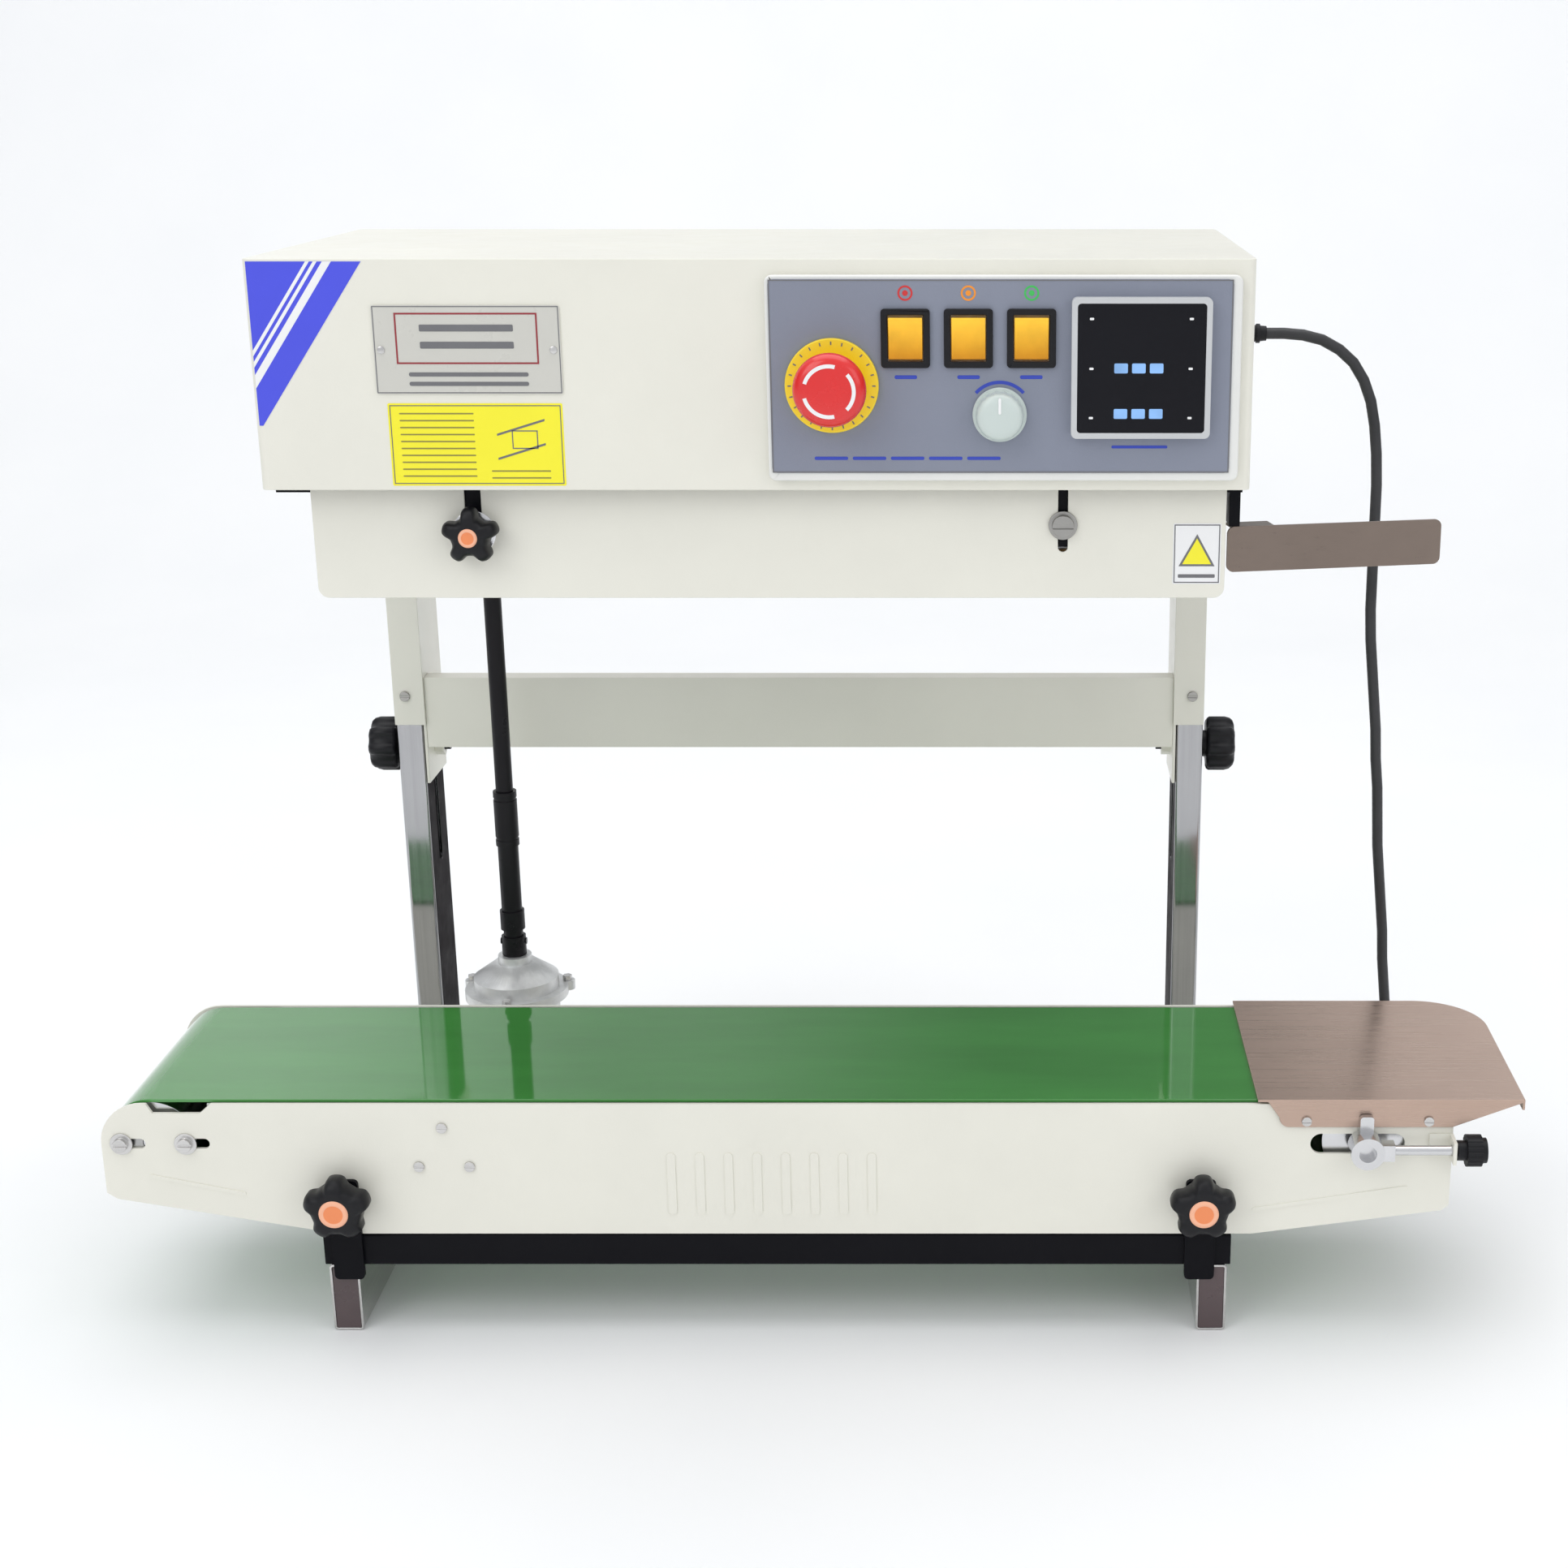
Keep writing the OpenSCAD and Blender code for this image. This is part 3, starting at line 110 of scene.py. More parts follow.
class SealerSizes(bpy.types.PropertyGroup):
    """Sizes that a user would change, in millimetres"""
    edge: FloatProperty(name="Sheet edge", description="Rounding of the folded sheet edges",
                        default=1.1, min=0.2, max=3.0)
    small_edge: FloatProperty(name="Small edge", description="Rounding of small machined edges",
                              default=0.35, min=0.1, max=1.0)
    lobes: IntProperty(name="Star lobes", description="Lobes of a star knob", default=5, min=3, max=8)
    grip_lobes: IntProperty(name="Clamp knob lobes", description="Lobes of a side clamping knob",
                            default=8, min=6, max=12)
    cord_d: FloatProperty(name="Cord diameter", description="Diameter of the mains cord",
                          default=7.0, min=5.0, max=9.0)
    label_lines: IntProperty(name="Label lines", description="Printed rules on the yellow label",
                             default=10, min=3, max=10)
    room_light: FloatProperty(name="Room light", description="Strength of the soft room light",
                              default=0.81, min=0.1, max=3.0)


def finishes():
    return bpy.context.scene.sealer_finishes


def sizes():
    return bpy.context.scene.sealer_sizes


def tint(colour):
    """A colour, or the finish setting of that name"""
    return tuple(getattr(finishes(), colour)) if isinstance(colour, str) else colour


def box_mm(node):
    """The two corners of a node's box, in millimetres"""
    return [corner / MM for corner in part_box(node)]


def middle(node):
    lo, hi = box_mm(node)
    return (lo + hi) / 2


# ---------------------------------------------------------------- materials

class Shader:
    """A principled material built node by node"""

    def __init__(self, name):
        self.mat = bpy.data.materials.new(name)
        self.mat.use_nodes = True
        self.tree = self.mat.node_tree
        self.bsdf = self.tree.nodes["Principled BSDF"]
        self.coord = None

    def node(self, kind, **values):
        n = self.tree.nodes.new(kind)
        for key, value in values.items():
            if hasattr(n, key) and key not in n.inputs:
                setattr(n, key, value)
            else:
                n.inputs[key].default_value = value
        return n

    def link(self, a, b):
        self.tree.links.new(a, b)

    def set(self, **values):
        for key, value in values.items():
            self.bsdf.inputs[key.replace("_", " ")].default_value = value

    def feed(self, **sources):
        """Links sources to the surface's own sockets"""
        for key, source in sources.items():
            self.link(source, self.bsdf.inputs[key.replace("_", " ")])

    def place(self, scale=(1, 1, 1)):
        """A point of the piece in its own coordinates, stretched by scale"""
        if self.coord is None:
            self.coord = self.node("ShaderNodeTexCoord")
        m = self.node("ShaderNodeMapping", Scale=scale)
        self.link(self.coord.outputs["Object"], m.inputs["Vector"])
        return m.outputs["Vector"]

    def noise(self, vector, scale, detail=3.0, rough=0.5):
        n = self.node("ShaderNodeTexNoise", Scale=scale, Detail=detail, Roughness=rough)
        self.link(vector, n.inputs["Vector"])
        return n.outputs["Fac"]

    def ramp(self, value, low, high, lo_pos=0.3, hi_pos=0.7):
        r = self.node("ShaderNodeValToRGB")
        for stop, place, colour in zip(r.color_ramp.elements, (lo_pos, hi_pos), (low, high)):
            stop.position = place
            stop.color = (*colour, 1)
        self.link(value, r.inputs["Fac"])
        return r.outputs["Color"]

    def spread(self, value, low, high, start=0.3, end=0.7):
        """A value between start and end, mapped to low and high"""
        m = self.node("ShaderNodeMapRange")
        for socket, number in (("From Min", start), ("From Max", end), ("To Min", low), ("To Max", high)):
            m.inputs[socket].default_value = number
        self.link(value, m.inputs["Value"])
        return m.outputs["Result"]

    def along(self, axis):
        """How far a point lies along one axis of the piece"""
        split = self.node("ShaderNodeSeparateXYZ")
        self.link(self.place(), split.inputs["Vector"])
        return split.outputs[axis]

    def times(self, a, b):
        n = self.node("ShaderNodeMath", operation="MULTIPLY")
        self.link(a, n.inputs[0])
        self.link(b, n.inputs[1])
        return n.outputs[0]

    def mix(self, fac, a, b, mode="MIX"):
        """Two colours mixed; 0, 6 and 7 are the factor and colour sockets of a colour mix"""
        n = self.node("ShaderNodeMix", data_type="RGBA", blend_type=mode)
        for i, v in ((0, fac), (6, a), (7, b)):
            if isinstance(v, (int, float)):
                n.inputs[i].default_value = v
            elif isinstance(v, tuple):
                n.inputs[i].default_value = (*v, 1)
            else:
                self.link(v, n.inputs[i])
        return n.outputs[2]

    def bump(self, height, strength, distance):
        b = self.node("ShaderNodeBump", Strength=strength, Distance=distance)
        self.link(height, b.inputs["Height"])
        last = self.bsdf.inputs["Normal"]
        if last.is_linked:
            self.link(last.links[0].from_socket, b.inputs["Normal"])
        self.link(b.outputs["Normal"], last)


def shade(colour, factor):
    """A lighter or darker shade of a colour"""
    return tuple(min(1.0, c * factor) for c in colour)


def coated(name, colour, rough, patch=0.05, grain=700.0, relief=0.03, coat=0.0, shine=0.5):
    """Paint, powder coat or moulded plastic: slow colour change, fine orange peel, uneven gloss"""
    s = Shader(name)
    colour = tint(colour)
    cloud = 9.0
    slow = s.noise(s.place(), cloud, 4.0, 0.6)
    fine = s.noise(s.place(), grain, 2.0, 0.5)
    s.feed(Base_Color=s.ramp(slow, shade(colour, 1 - patch), shade(colour, 1 + patch)))
    s.feed(Roughness=s.spread(s.noise(s.place(), cloud * 6, 5.0, 0.6), rough * 0.82, rough * 1.22))
    s.bump(fine, relief * 4, 0.0002)
    s.set(Coat_Weight=coat, Coat_Roughness=0.12, Specular_IOR_Level=shine)
    return s.mat


def brushed(name, colour, rough, along="X", lines=420.0, relief=0.05, patch=0.12, streak=0.82):
    """Bare metal with drawn or brushed lines along one axis"""
    s = Shader(name)
    stretch = {"X": (0.012, 1, 1), "Y": (1, 0.012, 1), "Z": (1, 1, 0.012)}[along]
    line = s.noise(s.place(scale=stretch), lines, 4.0, 0.65)
    cloud = s.noise(s.place(), 14.0, 4.0, 0.55)
    tone = s.ramp(cloud, shade(colour, 1 - patch), shade(colour, 1 + patch * 0.6))
    fine = s.ramp(line, (streak, streak, streak), (1.0, 1.0, 1.0))
    s.feed(Base_Color=s.mix(1.0, tone, fine, "MULTIPLY"))
    s.feed(Roughness=s.spread(line, rough * 0.75, rough * 1.35))
    s.bump(line, relief, 0.0002)
    s.set(Metallic=1.0)
    return s.mat


def turned(name, colour, rough, axis="Y"):
    """Turned metal: fine rings along the axis of turning"""
    s = Shader(name)
    squeeze = {"X": (1, 0.02, 0.02), "Y": (0.02, 1, 0.02), "Z": (0.02, 0.02, 1)}[axis]
    ring = s.noise(s.place(scale=squeeze), 900.0, 3.0, 0.6)
    s.feed(Base_Color=s.ramp(ring, shade(colour, 0.88), shade(colour, 1.06)))
    s.feed(Roughness=s.spread(ring, rough * 0.8, rough * 1.3))
    s.bump(ring, 0.06, 0.0002)
    s.set(Metallic=1.0)
    return s.mat


def cast(name, colour, rough):
    """Sand-cast and blasted alloy"""
    s = Shader(name)
    grit = s.noise(s.place(), 520.0, 5.0, 0.7)
    cloud = s.noise(s.place(), 45.0, 4.0, 0.6)
    s.feed(Base_Color=s.ramp(cloud, shade(colour, 0.8), shade(colour, 1.1)))
    s.feed(Roughness=s.spread(grit, rough * 0.85, rough * 1.2))
    s.bump(grit, 0.25, 0.0004)
    s.set(Metallic=0.6)
    return s.mat


def rocker_material():
    """Lit amber rocker with painted light and shade: yellow at its raised top end, brown at its pressed
    bottom end
    """
    s = Shader("lit_amber")
    colour = tint("amber")
    lo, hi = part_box("rocker_power")
    # painted shade: the rocker's colour darkens from its top to its bottom
    level = s.spread(s.along("Z"), 0.0, 1.0, lo.z, hi.z)
    tone = s.ramp(level, shade(colour, 0.62), (1.0, 0.57, 0.04), 0.0, 0.9)
    cloud = s.ramp(s.noise(s.place(), 90.0, 3.0, 0.5), (0.86, 0.86, 0.86), (1.0, 1.0, 1.0))
    tone = s.mix(1.0, tone, cloud, "MULTIPLY")
    s.feed(Base_Color=tone, Emission_Color=tone)
    s.bump(s.noise(s.place(), 900.0, 2.0, 0.5), 0.06, 0.0002)
    s.set(Roughness=0.3, Emission_Strength=0.16, Specular_IOR_Level=0.25)
    return s.mat


def glowing(name, colour, strength, rough=0.3):
    """Lit translucent plastic, brighter towards the middle of each cloud of light"""
    s = Shader(name)
    colour = tint(colour)
    glow = s.noise(s.place(), 70.0, 2.0, 0.4)
    tone = s.ramp(glow, shade(colour, 0.85), shade(colour, 1.1))
    s.feed(Base_Color=tone, Emission_Color=tone)
    s.set(Roughness=rough, Emission_Strength=strength, Specular_IOR_Level=0.2)
    return s.mat


def belt_material():
    """Coated belt: smooth glossy top over a faint woven carcass, with a few light scuffs along its run"""
    s = Shader("belt_green")
    colour = tint("belt")
    slow = s.noise(s.place(scale=(0.25, 1, 1)), 22.0, 4.0, 0.6)
    weave = s.noise(s.place(), 1400.0, 1.0, 0.4)
    scuff = s.noise(s.place(scale=(0.03, 1, 1)), 160.0, 5.0, 0.7)
    s.feed(Base_Color=s.ramp(slow, shade(colour, 0.9), shade(colour, 1.12)))
    s.feed(Roughness=s.spread(scuff, 0.03, 0.09))
    s.bump(weave, 0.012, 0.0002)
    s.set(Coat_Weight=0.5, Coat_Roughness=0.05, IOR=1.55)
    return s.mat


def band_material():
    """Coated glass cloth of the sealing bands, with its weave and heat browning"""
    s = Shader("sealing_band_cloth")
    w = s.node("ShaderNodeTexWave", wave_type="BANDS", bands_direction="DIAGONAL")
    w.inputs["Scale"].default_value = 420.0
    s.link(s.place(), w.inputs["Vector"])
    tone = s.ramp(s.noise(s.place(), 30.0, 4.0, 0.6), (0.26, 0.14, 0.05), (0.42, 0.26, 0.11))
    s.feed(Base_Color=tone)
    s.bump(w.outputs["Fac"], 0.15, 0.0002)
    s.set(Roughness=0.38)
    return s.mat


def cord_material():
    """Round rubber flex with faint extrusion lines"""
    s = Shader("cord_rubber")
    grain = s.noise(s.place(), 600.0, 3.0, 0.5)
    s.feed(Base_Color=s.ramp(s.noise(s.place(), 20.0, 3.0, 0.5), (0.018, 0.018, 0.02), (0.034, 0.034, 0.037)))
    s.feed(Roughness=s.spread(grain, 0.38, 0.55))
    s.bump(grain, 0.08, 0.0002)
    return s.mat


PRINT = (0.45, 0.05, 900.0, 0.02)
# Each row is a maker, the material's name, its colour or colour setting and its roughness; then
# patch, grain, relief, coat and shine for a coat, or direction, lines, relief, patch and streak for
# brushed metal
FINISH = {
    "powder": (coated, "cream_powder_coat", "powder", 0.36, 0.025, 850.0, 0.05, 0.15),
    "mirror": (brushed, "polished_stainless_tube", (0.43, 0.43, 0.44), 0.09, "Z", 260.0, 0.008, 0.06),
    "mirror_y": (brushed, "polished_stainless_foot", (0.62, 0.61, 0.6), 0.15, "Y", 260.0, 0.012, 0.06),
    "stainless": (brushed, "brushed_stainless", (0.525, 0.385, 0.315), 0.3, "X", 620.0, 0.008, 0.05, 0.95),
    "foot_plug": (coated, "foot_plug_moulding", (0.085, 0.057, 0.06), 0.3, 0.25, 500.0, 0.05, 0.2),
    "rail": (brushed, "brushed_stainless_rail", (0.25, 0.2, 0.17), 0.36, "X", 520.0, 0.02, 0.08, 0.93),
    "zinc": (brushed, "zinc_plate", (0.55, 0.55, 0.54), 0.34, "X", 300.0, 0.03, 0.15),
    "turned": (turned, "turned_steel", (0.66, 0.66, 0.67), 0.2),
    "turned_z": (turned, "turned_steel_upright", (0.6, 0.6, 0.61), 0.24, "Z"),
    "screw": (turned, "screw_steel", (0.62, 0.61, 0.6), 0.26),
    "black_paint": (coated, "black_paint", (0.004, 0.004, 0.006), 0.4, 0.1, 600.0, 0.05, 0.0, 0.1),
    "black_plastic": (coated, "black_moulding", (0.009, 0.009, 0.011), 0.38, 0.12, 1100.0, 0.09, 0.0, 0.25),
    "oxide": (coated, "blackened_steel", (0.009, 0.008, 0.01), 0.32, 0.2, 500.0, 0.05, 0.0, 0.18),
    "rubber": (coated, "roller_rubber", (0.03, 0.03, 0.032), 0.7, 0.1, 500.0, 0.12),
    "cap": (coated, "orange_cap", "cap", 0.4, 0.06, 900.0, 0.05),
    "cap_rim": (coated, "orange_cap_rim", (0.93, 0.47, 0.3), 0.4, 0.06, 900.0, 0.05),
    # painted shade and dark reflection: a near-black matte coat for the inner faces of the polished uprights
    "post_side_shade": (coated, "post_inner_face", (0.014, 0.011, 0.013), 0.5, 0.15, 500.0, 0.04, 0.0, 0.02),
    "red": (coated, "stop_red", "stop_red", 0.25, 0.05, 900.0, 0.02, 0.5),
    "yellow": (coated, "stop_yellow", "stop_yellow", 0.34, 0.04, 900.0, 0.03, 0.2),
    "white": (coated, "white_print", (0.86, 0.86, 0.86), 0.45, 0.02, 900.0, 0.02),
    "blue_print": (coated, "blue_print", (0.03, 0.06, 0.45), *PRINT),
    "grey_print": (coated, "grey_print", (0.16, 0.16, 0.17), 0.5, 0.08, 900.0, 0.02),
    "dark_red_print": (coated, "dark_red_print", (0.3, 0.03, 0.04), *PRINT),
    "red_print": (coated, "red_print", (0.6, 0.03, 0.03), *PRINT),
    "orange_print": (coated, "orange_print", (0.85, 0.28, 0.02), *PRINT),
    "green_print": (coated, "green_print", (0.05, 0.5, 0.1), *PRINT),
    "label_print": (coated, "label_print", (0.3, 0.27, 0.05), 0.5, 0.08, 900.0, 0.02),
    "label": (coated, "yellow_label", "label", 0.38, 0.04, 900.0, 0.02, 0.2),
    "decal": (coated, "blue_decal", "decal", 0.33, 0.05, 900.0, 0.02, 0.2),
    "film": (coated, "panel_film", "panel", 0.42, 0.04, 1500.0, 0.08),
    "panel_frame": (coated, "panel_moulding", (0.78, 0.78, 0.75), 0.35, 0.03, 900.0, 0.04, 0.1),
    "knob_grey": (coated, "knob_grey", (0.56, 0.63, 0.60), 0.32, 0.05, 900.0, 0.03, 0.2),
    "meter_bezel": (coated, "meter_bezel", (0.55, 0.56, 0.57), 0.38, 0.04, 1100.0, 0.06),
    "window": (coated, "meter_window", (0.005, 0.005, 0.008), 0.22, 0.1, 900.0, 0.004, 0.0, 0.2),
    "nameplate": (coated, "nameplate_lacquer", (0.6, 0.59, 0.54), 0.3, 0.03, 900.0, 0.02, 0.2),
    "bolt": (turned, "bolt_steel", (0.4, 0.39, 0.37), 0.3),
    "alloy": (cast, "cast_alloy", (0.74, 0.745, 0.74), 0.36),
    "motor": (coated, "motor_paint", (0.06, 0.065, 0.075), 0.45, 0.1, 400.0, 0.08),
    "brass": (brushed, "machined_brass", (0.62, 0.42, 0.14), 0.3, "X", 500.0, 0.04, 0.15),
    "alu": (brushed, "machined_aluminium", (0.7, 0.71, 0.72), 0.32, "X", 500.0, 0.04, 0.08),
    "amber": (rocker_material,),
    "display": (glowing, "display_blue", "display", 0.25),
    "belt": (belt_material,),
    "band": (band_material,),
    "cord": (cord_material,),
}
MATS = {}


def paint(name):
    """The finish of that name, made once"""
    if name not in MATS:
        maker, *values = FINISH[name]
        MATS[name] = maker(*values)
    return MATS[name]


# ---------------------------------------------------------------- mesh helpers

def placed(name, data):
    """A new object in the scene, at the origin"""
    obj = bpy.data.objects.new(name, data)
    bpy.context.scene.collection.objects.link(obj)
    return obj


def mesh_of(bm, name):
    """A mesh from a bmesh, which is freed"""
    mesh = bpy.data.meshes.new(name)
    bm.to_mesh(mesh)
    bm.free()
    return mesh


def finish_mesh(mesh, angle=32.0):
    """Smooth faces, with sharp edges above the angle"""
    mesh.validate()
    for p in mesh.polygons:
        p.use_smooth = True
    mesh.set_sharp_from_angle(angle=math.radians(angle))


def piece_from(bm, name, body, finish, angle=32.0):
    """A finished object from a bmesh, riding on its body"""
    bmesh.ops.recalc_face_normals(bm, faces=bm.faces)
    obj = placed(name, mesh_of(bm, name))
    finish_mesh(obj.data, angle)
    for f in ([finish] if isinstance(finish, str) else finish):
        obj.data.materials.append(paint(f))
    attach(obj, body)
    return obj


def applied(obj):
    """Turns an object with its modifiers into one with a plain mesh"""
    deps = bpy.context.evaluated_depsgraph_get()
    mesh = bpy.data.meshes.new_from_object(obj.evaluated_get(deps))
    obj.modifiers.clear()
    old = obj.data
    obj.data = mesh
    bpy.data.meshes.remove(old)


def soft_copy(node, finish, width, segments=2):
    """A copy of a rigid CAD piece with its edges broken by width, standing for that piece"""
    source = NODES[node]
    bm = bmesh.new()
    bm.from_mesh(source.data)
    bmesh.ops.remove_doubles(bm, verts=bm.verts, dist=2e-6)
    bmesh.ops.dissolve_limit(bm, angle_limit=math.radians(0.6), verts=bm.verts, edges=bm.edges)
    obj = placed(node + "_look", mesh_of(bm, node + "_look"))
    obj.data.materials.append(paint(finish))
    bevel = obj.modifiers.new("edge", "BEVEL")
    bevel.width = width * MM
    bevel.segments = segments
    bevel.limit_method = "ANGLE"
    bevel.angle_limit = math.radians(38)
    applied(obj)
    finish_mesh(obj.data, 34.0)
    weighted = obj.modifiers.new("normals", "WEIGHTED_NORMAL")
    weighted.mode = "FACE_AREA"
    weighted.weight = 90
    weighted.keep_sharp = True
    applied(obj)
    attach(obj, BODY_OF[node])
    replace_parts(obj, node)
    return obj


def soft_copies(width, **finish_of):
    """Soft copies of several pieces that share one edge size"""
    for node, finish in finish_of.items():
        soft_copy(node, finish, width)


def repaint(node, finish):
    """Gives a CAD piece whose shape is right its finish"""
    obj = NODES[node]
    obj.data.materials.clear()
    obj.data.materials.append(paint(finish))


def frame_axes(axis):
    """The axis as a unit vector, with two more at right angles to it"""
    axis = Vector(axis).normalized()
    side = Vector((1, 0, 0)) if abs(axis.x) < 0.9 else Vector((0, 0, 1))
    u = (side - axis * side.dot(axis)).normalized()
    return axis, u, axis.cross(u)


def loft(bm, centre, axis, layers, radius_of=None, steps=96):
    """Closed body of rings: layers are (height along axis, radius); radius_of shapes a ring by angle"""
    axis, u, v = frame_axes(axis)
    rings = []
    for h, r in layers:
        ring = []
        for i in range(steps):
            a = 2 * math.pi * i / steps
            q = r * (radius_of(a, h) if radius_of else 1.0)
            point = Vector(centre) + axis * h + u * (q * math.cos(a)) + v * (q * math.sin(a))
            ring.append(bm.verts.new(point * MM))
        rings.append(ring)
    faces = []
    for lower, upper in zip(rings, rings[1:]):
        for i in range(steps):
            j = (i + 1) % steps
            faces.append(bm.faces.new((lower[i], lower[j], upper[j], upper[i])))
    faces.append(bm.faces.new(list(reversed(rings[0]))))
    faces.append(bm.faces.new(rings[-1]))
    return faces


def prism(bm, outline, depth):
    """Prism of an outline in the XZ plane between two depths, anticlockwise as seen from the front"""
    front, back = [[bm.verts.new(Vector((x, y, z)) * MM) for x, z in outline] for y in depth]
    bm.faces.new(front)
    bm.faces.new(list(reversed(back)))
    for i in range(len(outline)):
        j = (i + 1) % len(outline)
        bm.faces.new((front[j], front[i], back[i], back[j]))


def slab(bm, x0, x1, z0, z1, depth, radius=0.0):
    """Plate standing in the XZ plane, with rounded corners"""
    steps = 5
    outline = [(x0, z0), (x1, z0), (x1, z1), (x0, z1)]
    if radius:
        outline = []
        for cx, cz, a0 in ((x1 - radius, z0 + radius, -90), (x1 - radius, z1 - radius, 0),
                           (x0 + radius, z1 - radius, 90), (x0 + radius, z0 + radius, 180)):
            for i in range(steps + 1):
                a = math.radians(a0 + 90 * i / steps)
                outline.append((cx + radius * math.cos(a), cz + radius * math.sin(a)))
    prism(bm, outline, depth)


def border(bm, x0, x1, z0, z1, width, depth):
    """A plain frame line"""
    for a, b, c, d in ((x0, x1, z0, z0 + width), (x0, x1, z1 - width, z1),
                       (x0, x0 + width, z0 + width, z1 - width), (x1 - width, x1, z0 + width, z1 - width)):
        slab(bm, a, b, c, d, depth)


def arc_mark(bm, x, z, r_in, r_out, a0, a1, depth, steps=28):
    """A flat arc standing in the XZ plane; a full turn gives a closed ring"""
    full = a1 - a0 >= 360
    n = steps if full else steps + 1
    near, far = depth
    rows = []
    for i in range(n):
        a = math.radians(a0 + (a1 - a0) * i / steps)
        c, s = math.cos(a), math.sin(a)
        rows.append([bm.verts.new(Vector((x + r * c, y, z + r * s)) * MM) for r, y in
                     ((r_in, near), (r_out, near), (r_out, far), (r_in, far))])
    for i in range(n if full else n - 1):
        p, q = rows[i], rows[(i + 1) % n]
        for k in range(4):
            m = (k + 1) % 4
            bm.faces.new((p[k], p[m], q[m], q[k]))
    if not full:
        bm.faces.new(rows[0])
        bm.faces.new(list(reversed(rows[-1])))


# ---------------------------------------------------------------- geometry nodes

class Growth:
    """A node tree that repeats one part and ends in plain, painted geometry"""

    def __init__(self, name, **inputs):
        self.tree = bpy.data.node_groups.new(name, "GeometryNodeTree")
        self.ids = {}
        for key, kind in inputs.items():
            item = self.tree.interface.new_socket(name=key.capitalize().replace("_", " "), in_out="INPUT",
                                                  socket_type="NodeSocket" + kind)
            self.ids[key] = item.identifier
            if kind == "Int":
                item.default_value = 1
        self.tree.interface.new_socket(name="Geometry", in_out="OUTPUT", socket_type="NodeSocketGeometry")
        self.given = self.add("NodeGroupInput").outputs

    def add(self, kind, operation=None, **fed):
        """A node with some of its sockets fed by other nodes' outputs"""
        node = self.tree.nodes.new(kind)
        if operation:
            node.operation = operation
        for key, source in fed.items():
            self.tree.links.new(source, node.inputs[key.replace("_", " ")])
        return node

    def part(self):
        return self.add("GeometryNodeObjectInfo", Object=self.given["Part"]).outputs["Geometry"]

    def finish(self, instances, material):
        real = self.add("GeometryNodeRealizeInstances", Geometry=instances.outputs["Instances"])
        painted = self.add("GeometryNodeSetMaterial", Geometry=real.outputs["Geometry"])
        painted.inputs["Material"].default_value = material
        self.add("NodeGroupOutput", Geometry=painted.outputs["Geometry"])
        return self.tree, self.ids


def rows_tree(material):
    """A row of one part, and more rows of it where Rows is over one"""
    g = Growth("rows_of_part", part="Object", count="Int", start="Vector", step="Vector",
               rows="Int", row_step="Vector")
    line = g.add("GeometryNodeMeshLine", Count=g.given["Count"], Start_Location=g.given["Start"],
                 Offset=g.given["Step"])
    down = g.add("GeometryNodeMeshLine", Count=g.given["Rows"], Offset=g.given["Row step"])
    row = g.add("GeometryNodeInstanceOnPoints", Points=line.outputs["Mesh"], Instance=g.part())
    flat = g.add("GeometryNodeRealizeInstances", Geometry=row.outputs["Instances"])
    rows = g.add("GeometryNodeInstanceOnPoints", Points=down.outputs["Mesh"],
                 Instance=flat.outputs["Geometry"])
    return g.finish(rows, material)


def ring_tree(material):
    """A part repeated round one centre, turned a step further each time"""
    g = Growth("ring_of_part", part="Object", count="Int", centre="Vector", turn="Vector")
    points = g.add("GeometryNodePoints", Count=g.given["Count"], Position=g.given["Centre"])
    index = g.add("GeometryNodeInputIndex")
    turn = g.add("ShaderNodeVectorMath", "SCALE", Vector=g.given["Turn"], Scale=index.outputs["Index"])
    ring = g.add("GeometryNodeInstanceOnPoints", Points=points.outputs["Points"], Instance=g.part(),
                 Rotation=turn.outputs["Vector"])
    return g.finish(ring, material)


def grown(name, body, finish, part_bm, maker, **values):
    """Runs a geometry node tree on a part and keeps the plain mesh; places are in millimetres"""
    bmesh.ops.recalc_face_normals(part_bm, faces=part_bm.faces)
    part = placed(name + "_part", mesh_of(part_bm, name + "_part"))
    obj = placed(name, bpy.data.meshes.new(name))
    mod = obj.modifiers.new("rows", "NODES")
    mod.node_group, ids = maker(paint(finish))
    mod[ids["part"]] = part
    for key, value in values.items():
        if key in ("start", "step", "row_step", "centre"):
            value = tuple(v * MM for v in value)
        mod[ids[key]] = value
    applied(obj)
    bpy.data.objects.remove(part)
    finish_mesh(obj.data, 34.0)
    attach(obj, body)


def bars(name, body, finish, half, radius, depth, **rows):
    """Rows of one printed bar; half is its half length and half height"""
    bm = bmesh.new()
    slab(bm, -half[0], half[0], -half[1], half[1], depth, radius)
    grown(name, body, finish, bm, rows_tree, **rows)


def printed(name, body, finish, draw, *values):
    """One piece made by a single slab, border, prism or arc"""
    bm = bmesh.new()
    draw(bm, *values)
    return piece_from(bm, name, body, finish)


# ---------------------------------------------------------------- operators

# Camera: place in metres, dip below level in degrees, lens in millimetres, sideways shift of its view
CAMERA_PLACE = (0.108, -1.413, 0.730)
CAMERA_DIP = 16.9
CAMERA_LENS = 53.76
CAMERA_SHIFT = -0.134


class SEALER_OT_camera(bpy.types.Operator):
    """Camera in front of the machine, a little above its head"""
    bl_idname = "sealer.camera"
    bl_label = "Camera"

    def execute(self, context):
        data = bpy.data.cameras.new("camera")
        data.lens = CAMERA_LENS
        data.sensor_width = 36.0
        data.shift_x = CAMERA_SHIFT
        data.clip_start = 0.05
        cam = placed("camera", data)
        cam.location = CAMERA_PLACE
        cam.rotation_euler = (math.radians(90 - CAMERA_DIP), 0, 0)
        context.scene.camera = cam
        return {"FINISHED"}


